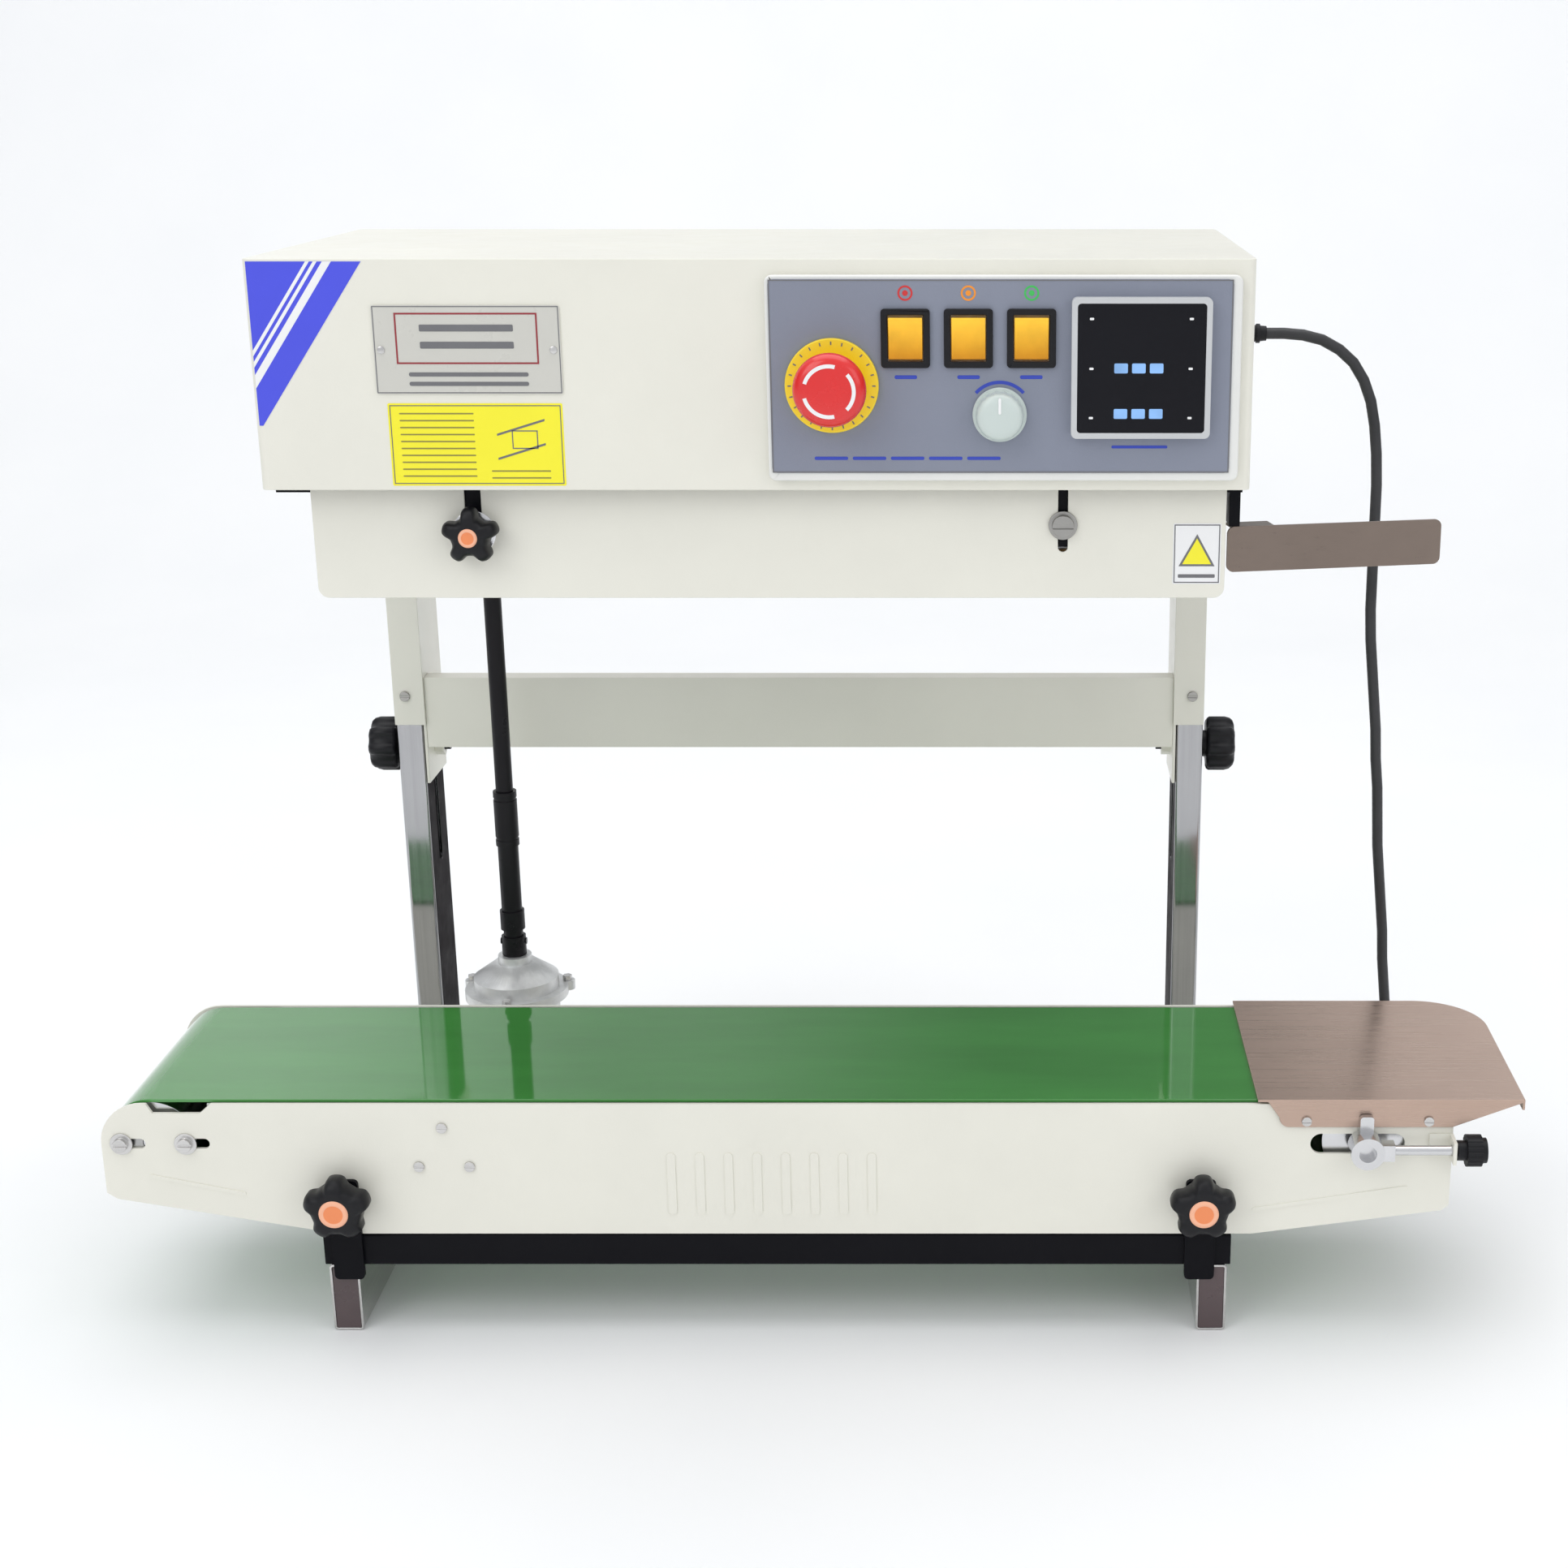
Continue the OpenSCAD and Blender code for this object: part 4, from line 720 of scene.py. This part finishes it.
# Cord, in millimetres: the points of its hanging stretch, as in the part's source, then its coil of
# six rings in two layers and the tail that ends at the plug
CORD_ROUTE = [(277.1, 60, 575), (288, 60, 575), (300, 60, 574), (312, 60, 571), (323, 60, 565),
              (332, 60, 557), (339, 60, 546), (344, 60, 533), (347, 60, 518), (349, 60, 500),
              (350, 60, 480), (350, 60, 460), (350, 60, 440), (350, 60, 420), (350, 60, 400),
              (351, 60, 380), (353, 60, 360), (355, 60, 340), (357, 60, 320), (358, 60, 300),
              (360, 60, 280), (361, 60, 260), (362, 60, 240), (364, 60, 220), (366, 60, 200),
              (368, 60, 180), (369, 60, 160), (371, 60, 140), (373, 60, 120), (375, 60, 100),
              (377, 60, 80), (379, 61, 62), (381, 63, 46), (383, 67, 32), (385, 74, 20), (386, 84, 11)]
COIL_CENTRE = (340, 100)
COIL_RADII = (47, 40, 33, 33, 40, 47)
COIL_TURNS = 5.5
LOW_LAYER, HIGH_LAYER = 3.7, 10.7
TAIL_YS = (92, 84, 76, 70, 62)


def cord_points():
    """The whole route in metres: the hanging stretch, the coil in two layers, and the tail to the plug"""
    pts = [Vector(p) * MM for p in CORD_ROUTE]
    cx, cy = COIL_CENTRE
    per_turn, last = 24, len(COIL_RADII) - 1
    for i in range(int(COIL_TURNS * per_turn) + 1):
        t = i / per_turn
        k = min(int(t), last)
        ease = max(0.0, (t - k - 0.7) / 0.3)
        ease = ease * ease * (3 - 2 * ease)
        r = COIL_RADII[k] + (COIL_RADII[min(k + 1, last)] - COIL_RADII[k]) * ease
        climb = 0 if k < 2 else (ease if k == 2 else 1)
        z = LOW_LAYER + (HIGH_LAYER - LOW_LAYER) * climb
        a = 2 * math.pi * t
        pts.append(Vector((cx + r * math.cos(a), cy + r * math.sin(a), z)) * MM)
    for y in TAIL_YS:
        pts.append(Vector((cx - COIL_RADII[-1], y, HIGH_LAYER + 0.2)) * MM)
    return pts


class SEALER_OT_cord(bpy.types.Operator):
    """Mains cord from the gland to its coil and plug"""
    bl_idname = "sealer.cord"
    bl_label = "Mains cord"

    def execute(self, context):
        pts = cord_points()
        cord_d = sizes().cord_d * MM
        curve = bpy.data.curves.new("mains_cord", "CURVE")
        curve.dimensions = "3D"
        spline = curve.splines.new("POLY")
        spline.points.add(len(pts) - 1)
        for p, q in zip(spline.points, pts):
            p.co = (*q, 1)
        curve.bevel_depth = cord_d / 2
        curve.bevel_resolution = 4
        curve.use_fill_caps = True
        source = placed("cord_source", curve)
        deps = context.evaluated_depsgraph_get()
        mesh = bpy.data.meshes.new_from_object(source.evaluated_get(deps))
        bpy.data.objects.remove(source)
        bm = bmesh.new()
        bm.from_mesh(mesh)
        bmesh.ops.remove_doubles(bm, verts=bm.verts, dist=1e-6)
        bmesh.ops.recalc_face_normals(bm, faces=bm.faces)
        bm.to_mesh(mesh)
        bm.free()
        finish_mesh(mesh, 60)
        mesh.materials.clear()
        mesh.materials.append(paint("cord"))
        cord = placed("mains_cord", mesh)
        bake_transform(cord)
        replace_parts(cord, "power_cord", "cord_coil")
        repaint("cord_plug", "black_plastic")
        return {"FINISHED"}


class SEALER_OT_stage(bpy.types.Operator):
    """Pale floor, backdrop, soft room light and three broad lamps"""
    bl_idname = "sealer.stage"
    bl_label = "Floor and light"

    def execute(self, context):
        bm = bmesh.new()
        half_width, front, bend_at, bend, top, steps = 14.0, -9.0, 1.6, 1.2, 4.5, 16
        turns = [math.pi / 2 * i / steps for i in range(steps + 1)]
        profile = [(front, 0.0)] + [(bend_at + bend * math.sin(a), bend - bend * math.cos(a)) for a in turns]
        profile.append((bend_at + bend, top))
        left, right = [[bm.verts.new((x, y, z - 0.2 * MM)) for y, z in profile]
                       for x in (-half_width, half_width)]
        for i in range(len(profile) - 1):
            bm.faces.new((left[i], right[i], right[i + 1], left[i + 1]))
        floor = placed("floor", mesh_of(bm, "floor"))
        finish_mesh(floor.data, 60)
        floor.data.materials.append(self.backdrop())
        world = bpy.data.worlds.new("room")
        world.use_nodes = True
        self.room(world.node_tree)
        context.scene.world = world
        for name, place, aim, size, power in (
                ("key_lamp", (-1.6, -2.2, 2.3), (0, 0, 0.35), 1.8, 17),
                ("fill_lamp", (2.2, -1.8, 1.6), (0, 0, 0.35), 1.6, 8),
                ("top_lamp", (0.0, 0.2, 3.0), (0, 0.0, 0.0), 3.0, 40)):
            lamp = bpy.data.lights.new(name, "AREA")
            lamp.shape = "SQUARE"
            lamp.size = size
            lamp.energy = power
            obj = placed(name, lamp)
            obj.location = place
            obj.rotation_euler = (Vector(aim) - Vector(place)).to_track_quat("-Z", "Y").to_euler()
        context.scene.view_settings.view_transform = "Standard"
        return {"FINISHED"}

    def backdrop(self):
        """White floor paint, with a soft grey field high on the wall that only the belt reflects"""
        s = Shader("pale_floor")
        white = s.ramp(s.noise(s.place(), 3.0, 3.0, 0.5), (0.92, 0.925, 0.93), (0.95, 0.95, 0.95))
        across = s.node("ShaderNodeValToRGB")
        across.color_ramp.interpolation = "EASE"
        for at, value in ((0.3, 0.62), (0.56, 1.0), (0.72, 1.0), (0.82, 0.0)):
            across.color_ramp.elements.new(at).color = (value, value, value, 1)
        across.color_ramp.elements[-1].color = (0, 0, 0, 1)
        s.link(s.spread(s.along("X"), 0.0, 1.0, -1.4, 1.4), across.inputs["Fac"])
        up = s.spread(s.along("Z"), 0.0, 1.0, 0.95, 1.2)
        grey = s.times(across.outputs["Color"], up)
        s.feed(Base_Color=s.mix(grey, white, (0.1, 0.11, 0.105)))
        s.set(Roughness=0.7)
        return s.mat

    def room(self, tree):
        """Soft room: bright in front, behind and above, darker walls on both sides"""
        back = tree.nodes["Background"]
        coord = tree.nodes.new("ShaderNodeTexCoord")
        split = tree.nodes.new("ShaderNodeSeparateXYZ")
        side = tree.nodes.new("ShaderNodeMath")
        side.operation = "ABSOLUTE"
        ramp = tree.nodes.new("ShaderNodeValToRGB")
        ramp.color_ramp.interpolation = "EASE"
        for stop, place, colour in zip(ramp.color_ramp.elements, (0.72, 0.97),
                                       ((0.95, 0.97, 1.0, 1), (0.36, 0.37, 0.385, 1))):
            stop.position = place
            stop.color = colour
        tree.links.new(coord.outputs["Generated"], split.inputs["Vector"])
        tree.links.new(split.outputs["X"], side.inputs[0])
        tree.links.new(side.outputs[0], ramp.inputs["Fac"])
        tree.links.new(ramp.outputs["Color"], back.inputs["Color"])
        back.inputs["Strength"].default_value = sizes().room_light


class SEALER_OT_stand(bpy.types.Operator):
    """Feet, uprights, cross bar and brackets"""
    bl_idname = "sealer.stand"
    bl_label = "Stand"

    def execute(self, context):
        edge = sizes().small_edge
        soft_copies(edge, foot_tubes="mirror_y", foot_plugs="foot_plug")
        posts = soft_copy("upright_posts", "mirror", edge)
        # painted shade: the inward faces of the uprights get the near-black coat in place of their mirror
        # finish
        posts.data.materials.append(paint("post_side_shade"))
        for face in posts.data.polygons:
            if abs(face.normal.x) > 0.9 and face.normal.x * face.center.x < 0:
                face.material_index = 1
        soft_copies(edge, front_bar="black_paint", knob_brackets="black_paint", upright_channels="powder",
                    cross_beam="powder")
        return {"FINISHED"}


class SEALER_OT_conveyor(bpy.types.Operator):
    """Side plates, belt, rollers, bed and tray"""
    bl_idname = "sealer.conveyor"
    bl_label = "Conveyor"

    def execute(self, context):
        soft_copies(sizes().small_edge, conveyor_front_plate="powder", conveyor_rear_plate="powder",
                    conveyor_belt="belt", slider_bed="zinc", infeed_tray="stainless", end_roller="turned",
                    tension_roller="turned", drive_roller="rubber")
        soft_copy("roller_bearings", "zinc", 0.2)
        soft_copy("tension_block", "turned", 0.5)
        return {"FINISHED"}


class SEALER_OT_drive(bpy.types.Operator):
    """Gearbox, telescopic cardan shaft and motor"""
    bl_idname = "sealer.drive"
    bl_label = "Drive"

    def execute(self, context):
        soft_copy("gearbox_housing", "alloy", 0.8, 3)
        soft_copy("lower_shaft", "oxide", 0.4)
        soft_copy("upper_shaft", "oxide", 0.3)
        soft_copy("drive_motor", "motor", 1.0)
        return {"FINISHED"}


class SEALER_OT_head(bpy.types.Operator):
    """Head housing, its floor, the lower cover and the guide plate"""
    bl_idname = "sealer.head"
    bl_label = "Head"

    def execute(self, context):
        soft_copy("head_housing", "powder", sizes().edge, 3)
        soft_copy("lower_cover", "powder", 0.5)
        soft_copies(0.4, mechanism_plate="black_paint", guide_rail="rail")
        soft_copy("cord_gland", "black_plastic", 0.3)
        return {"FINISHED"}


class SEALER_OT_sealing_line(bpy.types.Operator):
    """Sealing bands, wheels, heaters, coolers and press wheels"""
    bl_idname = "sealer.sealing_line"
    bl_label = "Sealing line"

    def execute(self, context):
        repaint("sealing_bands", "band")
        for wheel in ("drive_wheel", "idler_wheel", "press_wheel"):
            for side in ("front_", "rear_"):
                soft_copy(side + wheel, "turned_z", 0.3)
        soft_copy("heater_blocks", "brass", 0.4)
        soft_copy("cooling_blocks", "alu", 0.3)
        return {"FINISHED"}


class SEALER_OT_panel(bpy.types.Operator):
    """Control panel: moulded frame, printed film and its marks"""
    bl_idname = "sealer.panel"
    bl_label = "Control panel"

    def execute(self, context):
        soft_copy("panel_frame", "panel_frame", 1.2, 3)
        soft_copy("panel_plate", "film", 0.25)
        lo, hi = box_mm("panel_plate")
        ink = (lo.y - 0.12, lo.y + 0.2)
        bezel_lo, bezel_hi = box_mm("rocker_bezels")
        xs = [middle(rocker).x for rocker in ROCKERS]
        mark_z = bezel_hi.z + 8
        for x, finish, name in zip(xs, ("red_print", "orange_print", "green_print"),
                                   ("power_mark", "heat_mark", "fan_mark")):
            bm = bmesh.new()
            arc_mark(bm, x, mark_z, 3.0, 4.0, 0, 360, ink, 40)
            loft(bm, (x, ink[1], mark_z), FRONT, [(0, 1.5), (ink[1] - ink[0], 1.5)], steps=24)
            piece_from(bm, name, "head", finish)
        bars("switch_captions", "head", "blue_print", (6, 1.0), 0.9, ink, count=len(xs),
             start=(xs[0], 0, bezel_lo.z - 5), step=(xs[1] - xs[0], 0, 0))
        knob = middle("speed_knob")
        printed("speed_scale", "head", "blue_print", arc_mark, knob.x, knob.z, 16.2, 18.0, 42, 138, ink)
        bars("panel_rules", "head", "blue_print", (9, 0.9), 0.8, ink, count=5,
             start=(lo.x + 32, 0, lo.z + 8), step=(20.5, 0, 0))
        x, z = middle("controller").x, box_mm("controller")[0].z - 5.4
        printed("meter_caption", "head", "blue_print", slab, x - 15, x + 15, z - 0.8, z + 0.8, ink, 0.7)
        inset = 0.2
        printed("panel_outline", "head", "grey_print", border, lo.x + inset, hi.x - inset, lo.z + inset,
                hi.z - inset, 0.7, ink)
        return {"FINISHED"}


class SEALER_OT_switches(bpy.types.Operator):
    """Rocker switches, stop button, speed knob and temperature controller"""
    bl_idname = "sealer.switches"
    bl_label = "Switches"

    def execute(self, context):
        soft_copy("rocker_bezels", "black_plastic", 0.5)
        for rocker in ROCKERS:
            soft_copy(rocker, "amber", 0.5, 3)
        self.stop_button()
        self.speed_knob()
        self.controller()
        return {"FINISHED"}

    def stop_button(self):
        """Mushroom with three printed arcs, and the ticks of its ring"""
        soft_copy("stop_ring", "yellow", 0.8, 3)
        lo, hi = box_mm("stop_button")
        x, z = middle("stop_button").xz
        r, tip = (hi.x - lo.x) / 2, hi.y - lo.y
        stem, dome = 8, 7
        rim = tip - dome
        layers = [(0, stem), (rim - 5, stem), (rim - 5, r * 0.82), (rim - 4.2, r * 0.93),
                  (rim - 2.5, r * 0.985), (rim, r)]
        for i in range(1, 11):
            a = math.radians(9 * i)
            layers.append((rim + dome * math.sin(a) ** 0.9, r * (0.25 + 0.75 * math.cos(a) ** 0.55)))
        bm = bmesh.new()
        loft(bm, (x, hi.y, z), FRONT, layers, steps=72)
        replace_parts(piece_from(bm, "stop_mushroom", "stop_button", "red", 50), "stop_button")
        bm = bmesh.new()
        for start in (75, 195, 315):
            arc_mark(bm, x, z, 12.2, 14.2, start, start + 87, (lo.y + 0.08, lo.y + 2.28), 14)
        piece_from(bm, "stop_arcs", "stop_button", "white")
        tick = bmesh.new()
        slab(tick, -0.35, 0.35, 21.6, 23.4, (-0.12, 0.1))
        ticks, ring_face = 24, box_mm("panel_plate")[0].y - 4
        grown("stop_ring_ticks", "head", "grey_print", tick, ring_tree, count=ticks,
              centre=(x, ring_face, z), turn=(0, 2 * math.pi / ticks, 0))

    def speed_knob(self):
        """Turned knob with a fluted grip on a thin skirt, and its pointer"""
        lo, hi = box_mm("speed_knob")
        x, z = middle("speed_knob").xz
        r, top, flutes = 13, hi.y - lo.y - 1.0, 18

        def grip(a, h):
            fluted = 2 < h < top - 3.2
            return 1.0 - (0.035 if fluted else 0.0) * (0.5 - 0.5 * math.cos(flutes * a))

        bm = bmesh.new()
        loft(bm, (x, hi.y, z), FRONT, [(0, r + 1.5), (1.2, r + 1.5), (1.9, r + 0.9), (2.0, r)], steps=72)
        body = [(1.9, r), (2.4, r)]
        for down, share in ((4, 0.97), (3, 0.95), (1.6, 0.9), (0.6, 0.8), (0.15, 0.6), (0, 0.3)):
            body.append((top - down, r * share))
        loft(bm, (x, hi.y, z), FRONT, body, grip, steps=144)
        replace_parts(piece_from(bm, "speed_knob_look", "speed_knob", "knob_grey", 40), "speed_knob")
        face = hi.y - top
        printed("speed_pointer", "speed_knob", "white", slab, x - 0.7, x + 0.7, z + 2, z + 10.4,
                (face - 0.4, face + 2), 0.6)

    def controller(self):
        """Bezel, dark window, two rows of lit cells and the marks beside them"""
        soft_copy("controller", "meter_bezel", 0.4)
        lo, hi = box_mm("controller")
        rim, face = 3.1, lo.y + 0.5
        printed("meter_window", "head", "window", slab, lo.x + rim, hi.x - rim, lo.z + rim, hi.z - rim,
                (face, lo.y + 1.06), 1.8)
        x, z = middle("controller").xz
        ink = (face - 0.15, face + 0.1)
        bars("meter_digits", "head", "display", (3.6, 2.6), 0.7, ink, count=3, rows=2,
             start=(x - 10.8, 0, z + 0.2), step=(9.4, 0, 0), row_step=(0, 0, -24))
        bars("meter_marks", "head", "white", (1.1, 0.6), 0.4, ink, count=2, rows=3,
             start=(x - 26.5, 0, z + 26), step=(52.5, 0, 0), row_step=(0, 0, -26))


class SEALER_OT_knobs(bpy.types.Operator):
    """Star knobs with their caps, side clamping knobs and the belt tension knob"""
    bl_idname = "sealer.knobs"
    bl_label = "Knobs"

    def execute(self, context):
        for node in ("foot_knob_left", "foot_knob_right"):
            self.star(node, r=20, h=19, stud=14, depth=0.11, cap_share=0.9)
        self.star("cover_knob", r=16, h=17, stud=9, depth=0.16, cap_share=0.68)
        self.washer()
        self.clamp("side_knob_left", -1)
        self.clamp("side_knob_right", 1)
        self.tension_screw()
        return {"FINISHED"}

    def star(self, node, r, h, stud, depth, cap_share):
        """Lobed knob of radius r and height h on its stud, and its two-tone cap"""
        cap = node + "_cap"
        cap_lo, cap_hi = box_mm(cap)
        x, z = middle(cap).xz
        root = box_mm(node)[1].y - stud
        lobes = sizes().lobes
        top = math.pi / 2 if frame_axes(FRONT)[2].z > 0 else -math.pi / 2

        def shape(a, _level):
            wave = math.cos(lobes * (a - top))
            return 1 - depth + depth * math.tanh(1.7 * wave) / math.tanh(1.7)

        bm = bmesh.new()
        neck = 0.22 * h
        loft(bm, (x, root, z), FRONT, [(-stud, 4), (0, 4), (0, 0.46 * r), (neck, 0.5 * r)], steps=40)
        profile = [(neck, 0.88), (neck + 0.6, 0.95), (neck + 2, 0.985), (0.6 * h, 0.99), (0.74 * h, 0.965),
                   (0.85 * h, 0.91), (0.93 * h, 0.82), (h - 0.3, 0.72), (h, 0.6)]
        loft(bm, (x, root, z), FRONT, [(q, r * share) for q, share in profile], shape, steps=160)
        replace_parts(piece_from(bm, node + "_look", BODY_OF[node], "black_plastic", 42), node)
        cap_r, tip, around = cap_share * (cap_hi.x - cap_lo.x) / 2, root - cap_lo.y, 64
        rim = [(h - 2, 1.0), (h + 0.1, 1.0), (tip - 0.35, 0.95), (tip - 0.06, 0.86), (tip, 0.78),
               (tip - 0.04, 0.7), (tip - 0.3, 0.66)]
        disc = [(tip - 0.32, 0.6), (tip - 0.3, 0.25)]
        bm = bmesh.new()
        faces = loft(bm, (x, root, z), FRONT, [(q, cap_r * share) for q, share in rim + disc], steps=around)
        for f in faces[:(len(rim) - 1) * around]:
            f.material_index = 1
        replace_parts(piece_from(bm, cap + "_look", BODY_OF[cap], ["cap", "cap_rim"], 50), cap)

    def washer(self):
        """Chrome washer on the cover knob's stud"""
        x, z = middle("cover_knob_cap").xz
        face = box_mm("lower_cover")[0].y
        bm = bmesh.new()
        loft(bm, (x, face - 0.05, z), FRONT, [(0, 11.6), (0.3, 12), (0.9, 12), (1.1, 11.6)], steps=64)
        piece_from(bm, "cover_knob_washer", "cover_knob", "turned")

    def clamp(self, node, side):
        """Fluted clamping knob that faces left or right, with its stud"""
        lo, hi = box_mm(node)
        y, z = middle(node).yz
        r, h, grips = (hi.z - lo.z) / 2, 19, sizes().grip_lobes
        outer, inner = (hi.x, lo.x) if side > 0 else (lo.x, hi.x)
        start = outer - side * h

        def shape(a, _level):
            return 0.935 + 0.065 * math.tanh(1.6 * math.cos(grips * a)) / math.tanh(1.6)

        bm = bmesh.new()
        profile = [(0, 0.86), (0.5, 0.94), (2, 1.0), (h * 0.66, 1.0), (h * 0.84, 0.95), (h * 0.94, 0.86),
                   (h - 0.2, 0.72), (h, 0.5)]
        loft(bm, (start, y, z), (side, 0, 0), [(q, r * share) for q, share in profile], shape, steps=160)
        stud = [(-0.5, 9), (3.4, 9), (3.5, 4), (abs(start - inner), 4)]
        loft(bm, (start, y, z), (-side, 0, 0), stud, steps=40)
        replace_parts(piece_from(bm, node + "_look", BODY_OF[node], "black_plastic", 42), node)

    def tension_screw(self):
        """Knurled knob of the tension rod, and the bright thread that it turns"""
        soft_copy("tension_rod", "black_plastic", 0.25)
        lo, hi = box_mm("tension_rod")
        y, z = middle("tension_rod").yz
        knob, thread_r = 17.5, 3.03
        bm = bmesh.new()
        loft(bm, (lo.x - 0.05, y, z), (1, 0, 0), [(0, 2.9), (0.3, thread_r), (hi.x - lo.x - knob, thread_r)],
             steps=32)
        piece_from(bm, "tension_screw", "tension_rod", "turned")


class SEALER_OT_screws(bpy.types.Operator):
    """Slotted and cap screws"""
    bl_idname = "sealer.screws"
    bl_label = "Screws"

    def execute(self, context):
        soft_copies(0.3, conveyor_screws="screw", head_screws="bolt")
        return {"FINISHED"}


class SEALER_OT_labels(bpy.types.Operator):
    """Name plate, instruction label, corner decal and the small sign on the cover"""
    bl_idname = "sealer.labels"
    bl_label = "Plates and labels"

    def execute(self, context):
        lo, hi = box_mm("head_housing")
        self.name_plate(lo.x + 67, hi.z - 71, lo.y)
        self.instruction_label(lo.x + 72, lo.z + 2.5, lo.y)
        self.corner_decal(lo, hi)
        self.cover_sign()
        return {"FINISHED"}

    def name_plate(self, x0, z0, face):
        """Lacquered plate with a red frame and plain bars, held by two rivets"""
        wide, tall = 100, 47
        x1, z1, centre = x0 + wide, z0 + tall, x0 + wide / 2
        ink = (face - 1.05, face - 0.8)
        plate = printed("name_plate", "head", "nameplate", slab, x0, x1, z0, z1, (face - 0.9, face), 1.5)
        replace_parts(plate, "front_plates")
        printed("name_plate_border", "head", "dark_red_print", border, x0 + 12, x1 - 12, z0 + 16, z1 - 4,
                0.9, ink)
        printed("name_plate_edge", "head", "grey_print", border, x0 + 0.5, x1 - 0.5, z0 + 0.5, z1 - 0.5, 0.5,
                (face - 1.0, face - 0.8))
        bars("name_plate_rules", "head", "grey_print", (32, 1.1), 1.0, ink, count=2,
             start=(centre, 0, z0 + 10.5), step=(0, 0, -5))
        bars("name_plate_bars", "head", "grey_print", (25, 1.8), 0.6, ink, count=2,
             start=(centre, 0, z1 - 12), step=(0, 0, -9))
        rivet = bmesh.new()
        loft(rivet, (0, 0, 0), FRONT, [(0, 2.1), (0.5, 2.0), (0.75, 1.4)], steps=24)
        grown("name_plate_rivets", "head", "screw", rivet, rows_tree, count=2,
              start=(x0 + 4, face - 0.85, z0 + tall / 2), step=(wide - 8, 0, 0))

    def instruction_label(self, x0, z0, face):
        """Yellow label with plain rules and a small plain diagram"""
        x1, z1 = x0 + 94, z0 + 44.5
        ink = (face - 0.3, face - 0.1)
        printed("instruction_label", "head", "label", slab, x0, x1, z0, z1, (face - 0.2, face), 0.8)
        printed("label_border", "head", "grey_print", border, x0 + 1, x1 - 1, z0 + 1, z1 - 1, 0.5,
                (face - 0.3, face))
        down = (0, 0, -3.75)
        bars("label_rules", "head", "label_print", (20, 0.4), 0.35, ink, count=sizes().label_lines,
             start=(x0 + 26, 0, z1 - 5.5), step=down)
        bars("label_notes", "head", "label_print", (16, 0.4), 0.35, ink, count=2,
             start=(x0 + 70, 0, z0 + 8), step=down)
        left, right, rise, line = x0 + 58, x0 + 84, 8, 1.2
        bm = bmesh.new()
        for z in (z0 + 14, z0 + 27):
            prism(bm, [(left, z), (right, z + rise), (right, z + rise + line), (left, z + line)], ink)
        border(bm, x0 + 66, x0 + 80, z0 + 20, z0 + 30, 0.6, ink)
        piece_from(bm, "label_diagram", "head", "grey_print")

    def corner_decal(self, lo, hi):
        """Blue corner with three plain stripes that run along its slanted edge"""
        face = lo.y
        x0, x1, z0, z1 = lo.x + 2.4, lo.x + 63.5, lo.z + 35, hi.z - 1.4
        printed("corner_decal", "head", "decal", prism, [(x0, z0), (x0 + 2, z0), (x1, z1), (x0, z1)],
                (face - 0.2, face))
        run = (x1 - x0 - 2) / (z1 - z0)
        bm = bmesh.new()
        for low, tall in ((20, 7), (31, 3), (37, 3)):
            a, b = z0 + low, z0 + low + tall
            prism(bm, [(x0, a), (x0 + (z1 - a) * run, z1), (x0 + (z1 - b) * run, z1), (x0, b)],
                  (face - 0.3, face - 0.1))
        piece_from(bm, "corner_stripes", "head", "white")

    def cover_sign(self):
        """Small white sign with a plain triangle and a rule"""
        lo, hi = box_mm("lower_cover")
        x0, x1, z0, z1, face = hi.x - 29, hi.x - 2.5, lo.z + 8, lo.z + 42, lo.y
        ink = (face - 0.3, face)
        printed("cover_sign", "lower_cover", "white", slab, x0, x1, z0, z1, (face - 0.2, face + 0.05), 0.8)
        bm = bmesh.new()
        border(bm, x0 + 0.6, x1 - 0.6, z0 + 0.6, z1 - 0.6, 0.6, ink)
        slab(bm, x0 + 3, x1 - 3, z0 + 3.5, z0 + 5.5, ink, 0.5)
        piece_from(bm, "cover_sign_border", "lower_cover", "grey_print")
        x = (x0 + x1) / 2
        printed("cover_sign_back", "lower_cover", "grey_print", prism,
                [(x - 10, z0 + 10), (x + 10, z0 + 10), (x, z0 + 28)], ink)
        printed("cover_sign_triangle", "lower_cover", "label", prism,
                [(x - 8, z0 + 11.2), (x + 8, z0 + 11.2), (x, z0 + 25.6)], (face - 0.4, face))


OPERATORS = [SEALER_OT_camera, SEALER_OT_cord, SEALER_OT_stage, SEALER_OT_stand, SEALER_OT_conveyor,
             SEALER_OT_drive, SEALER_OT_head, SEALER_OT_sealing_line, SEALER_OT_panel, SEALER_OT_switches,
             SEALER_OT_knobs, SEALER_OT_screws, SEALER_OT_labels]


class SEALER_PT_panel(bpy.types.Panel):
    """Lists the steps that make the machine"""
    bl_idname = "SEALER_PT_panel"
    bl_label = "Band sealer"
    bl_space_type = "VIEW_3D"
    bl_region_type = "UI"
    bl_category = "Band sealer"

    def draw(self, context):
        for group in (context.scene.sealer_sizes, context.scene.sealer_finishes):
            for key in group.__annotations__:
                self.layout.prop(group, key)
        for op in OPERATORS:
            self.layout.operator(op.bl_idname)


CLASSES = [SealerFinishes, SealerSizes, *OPERATORS, SEALER_PT_panel]


def register():
    for cls in CLASSES:
        bpy.utils.register_class(cls)
    bpy.types.Scene.sealer_finishes = PointerProperty(type=SealerFinishes)
    bpy.types.Scene.sealer_sizes = PointerProperty(type=SealerSizes)


def unregister():
    del bpy.types.Scene.sealer_sizes
    del bpy.types.Scene.sealer_finishes
    for cls in reversed(CLASSES):
        bpy.utils.unregister_class(cls)


def main():
    register()
    for op in OPERATORS:
        group, name = op.bl_idname.split(".")
        getattr(getattr(bpy.ops, group), name)()


if __name__ == "__main__":
    main()
